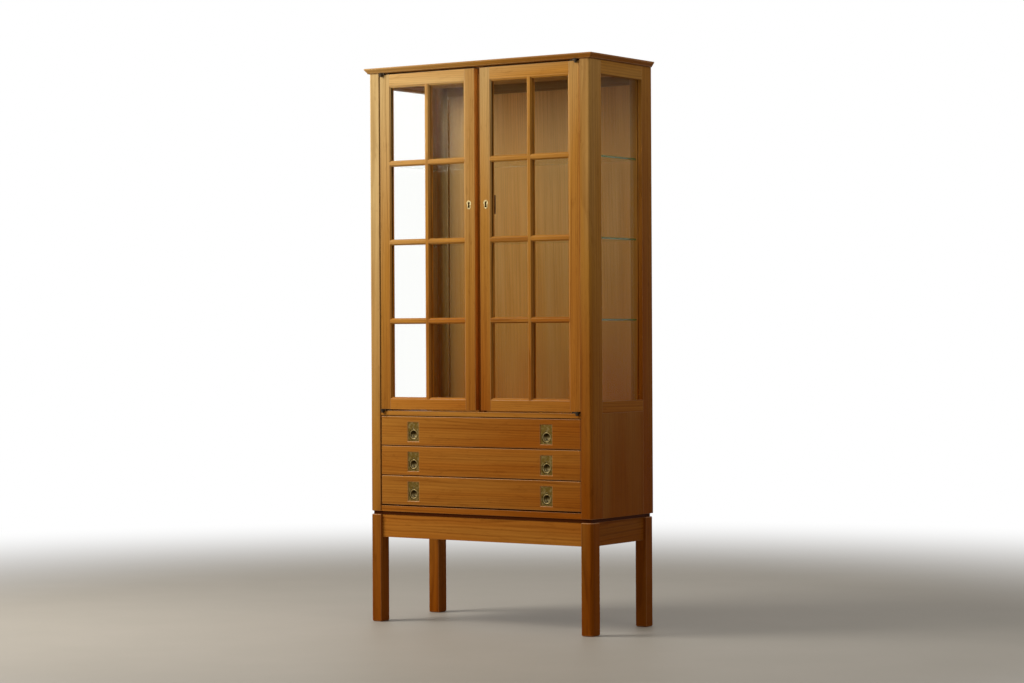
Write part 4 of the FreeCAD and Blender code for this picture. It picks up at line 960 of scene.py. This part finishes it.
screw_turns = np.random.default_rng(7).uniform(0, np.pi, 2 * len(plate_centres)).reshape(-1, 2)
for (level, height_of), turns in zip(plate_centres.items(), screw_turns):
    heads = []
    for way, slot_turn in zip((-1, 1), turns):
        centre = np.array([way * pull_from_centre, plate_face + screw_seat, height_of + screw_offset])
        heads.append(slotted_head(centre, screw_radius, slot_turn))
    name = f"{level}_drawer_plate_screws"
    screws = bpy.data.objects.new(name, joined_mesh(name, heads))
    screws.data.materials.append(dark_bronze)
    bpy.context.scene.collection.objects.link(screws)
    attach(screws, f"{level}_drawer")
print("screws:", screw_turns.size)

# %% [markdown]
# ## Glass
# The panes are clear float glass with a faint green tint. A path tracer sends light through real glass only
# by luck, so the inside of the cabinet would be dark and grainy. The usual answer is to treat the pane as
# plain transparent for shadow and diffuse rays and as true glass for everything the eye sees. It mirrors
# less than real glass would, because its surroundings here are all white. The shelves are thicker, and their
# ground edges are the deep green that such glass shows end on.

# %% Glass materials
def glass_material(name, face_colour, bending, edge_colour=None):
    """Clear glass for the eye, plain transparent for shadow and diffuse rays; upright edges may be tinted."""
    material, tree = new_material(name)
    colour = face_colour
    if edge_colour is not None:
        normal = add(tree, "ShaderNodeTexCoord").outputs["Normal"]
        upward = add(tree, "ShaderNodeSeparateXYZ", {0: normal}).outputs[2]
        face_on = ramp(tree, math_node(tree, "ABSOLUTE", upward), 0.2, 0.8)
        colour = blend_colour(tree, face_on, edge_colour, face_colour)
    glass = add(tree, "ShaderNodeBsdfPrincipled",
                {"Base Color": colour, "Roughness": 0.0, "IOR": bending, "Specular IOR Level": 0.1,
                 "Transmission Weight": 1.0})
    clear = add(tree, "ShaderNodeBsdfTransparent", {"Color": (0.96, 0.98, 0.97, 1)})
    path = add(tree, "ShaderNodeLightPath")
    passing = math_node(tree, "MAXIMUM", path.outputs["Is Shadow Ray"], path.outputs["Is Diffuse Ray"])
    mixed = add(tree, "ShaderNodeMixShader", {0: passing, 1: glass.outputs[0], 2: clear.outputs[0]})
    add(tree, "ShaderNodeOutputMaterial", {"Surface": mixed.outputs[0]})
    return material


clear_glass = glass_material("clear_glass", (0.99, 0.995, 0.985, 1), 1.07)
shelf_glass = glass_material("shelf_glass", (0.90, 0.97, 0.94, 1), 1.25, edge_colour=(0.22, 0.50, 0.38, 1))
glass_nodes = {"left_door_panes": clear_glass, "right_door_panes": clear_glass, "side_panes": clear_glass,
               "glass_shelves": shelf_glass}
for node, material in glass_nodes.items():
    data = frame["nodes"][node].data
    data.materials.clear()
    data.materials.append(material)
print("glass nodes:", len(glass_nodes))

# %% [markdown]
# ## Floor
# The floor is one wide pale disc that turns into the white of the background a few metres out, so the
# cabinet keeps its shadow and there is no horizon line. The white is seen by the camera, in mirrors and
# through glass only, and sends no light to the wood.

# %% Floor
floor_radii = np.array([1.0, 2.0, 4.0, 8.0, 14.0])[:, None]
floor_sides = 72


def seen_directly(tree):
    """1 for camera, glossy and transmission rays, which show the background, and 0 for all others."""
    path = add(tree, "ShaderNodeLightPath")
    seen = math_node(tree, "MAXIMUM", path.outputs["Is Camera Ray"], path.outputs["Is Glossy Ray"])
    return math_node(tree, "MAXIMUM", seen, path.outputs["Is Transmission Ray"])


turn = np.linspace(0, 2 * np.pi, floor_sides, endpoint=False)[None, :]
floor_points = np.stack([floor_radii * np.cos(turn), floor_radii * np.sin(turn), 0 * floor_radii * turn], axis=-1)
floor_faces = grid_faces(len(floor_radii), floor_sides).tolist() + [list(range(floor_sides))[::-1]]
floor_mesh = bpy.data.meshes.new("floor")
floor_mesh.from_pydata(floor_points.reshape(-1, 3), [], floor_faces)
floor_shape = bmesh.new()
floor_shape.from_mesh(floor_mesh)
bmesh.ops.recalc_face_normals(floor_shape, faces=floor_shape.faces)
if floor_shape.faces[0].normal.z < 0:
    bmesh.ops.reverse_faces(floor_shape, faces=floor_shape.faces)
floor_shape.to_mesh(floor_mesh)
floor_shape.free()
floor = bpy.data.objects.new("floor", floor_mesh)
bpy.context.scene.collection.objects.link(floor)

floor_finish, tree = new_material("floor_finish")
spot = add(tree, "ShaderNodeTexCoord").outputs["Object"]
far = add(tree, "ShaderNodeVectorMath", {0: spot}, operation="LENGTH").outputs["Value"]
floor_colour = blend_colour(tree, noise(tree, spot, (3, 3, 3), detail=4.0), (0.42, 0.38, 0.31, 1),
                            (0.48, 0.43, 0.36, 1))
ground = add(tree, "ShaderNodeBsdfPrincipled", {"Base Color": floor_colour, "Roughness": 0.6,
                                                "Specular IOR Level": 0.3})
white = add(tree, "ShaderNodeEmission", {"Color": (1, 1, 1, 1), "Strength": 1.0})
fade = math_node(tree, "MULTIPLY", ramp(tree, far, 1.6, 4.6), seen_directly(tree))
mixed = add(tree, "ShaderNodeMixShader", {0: fade, 1: ground.outputs[0], 2: white.outputs[0]})
add(tree, "ShaderNodeOutputMaterial", {"Surface": mixed.outputs[0]})
floor_mesh.materials.append(floor_finish)
print("floor:", len(floor_mesh.polygons), "faces")

# %% [markdown]
# ## Light and air
# The sky is an even, weak light for the wood, and plain white where it is seen. One large soft lamp, like a
# tall window, stands at the front left, where the light of the photograph comes from, and it falls off gently
# to the right. A second one, about a tenth as strong, hangs high on the right, so that the right side of the
# cabinet keeps its colour.

# %% World and lamps
world = bpy.data.worlds.new("air")
bpy.context.scene.world = world
world.use_nodes = True
tree = world.node_tree
tree.nodes.clear()
dome = add(tree, "ShaderNodeBackground", {"Color": (1.0, 0.97, 0.92, 1), "Strength": 0.22})
backdrop = add(tree, "ShaderNodeBackground", {"Color": (1, 1, 1, 1), "Strength": 1.0})
mixed = add(tree, "ShaderNodeMixShader", {0: seen_directly(tree), 1: dome.outputs[0], 2: backdrop.outputs[0]})
add(tree, "ShaderNodeOutputWorld", {"Surface": mixed.outputs[0]})
daylight = (1.0, 0.985, 0.96)


def soft_lamp(name, place_at, aim, width, height_of, watts):
    """Rectangular lamp at a place, turned towards a point."""
    lamp = bpy.data.lights.new(name, "AREA")
    lamp.shape = "RECTANGLE"
    lamp.size, lamp.size_y = width, height_of
    lamp.energy = watts
    lamp.color = daylight
    holder = bpy.data.objects.new(name, lamp)
    holder.location = place_at
    holder.rotation_mode = "QUATERNION"
    holder.rotation_quaternion = (Vector(aim) - Vector(place_at)).to_track_quat("-Z", "Y")
    bpy.context.scene.collection.objects.link(holder)
    return holder


window = soft_lamp("window", (-2.0, -1.8, 2.4), (0.0, -0.17, 1.1), 1.5, 1.8, 84)
side_window = soft_lamp("side_window", (2.0, -0.4, 2.9), (0.4, 0.0, 1.2), 1.0, 1.2, 7.5)
print("lamps:", window.data.energy, "W and", side_window.data.energy, "W")

# %% [markdown]
# ## Finish
# Colours are shown as they are written, with the Standard view.

# %% Finish
bpy.context.scene.view_settings.view_transform = "Standard"
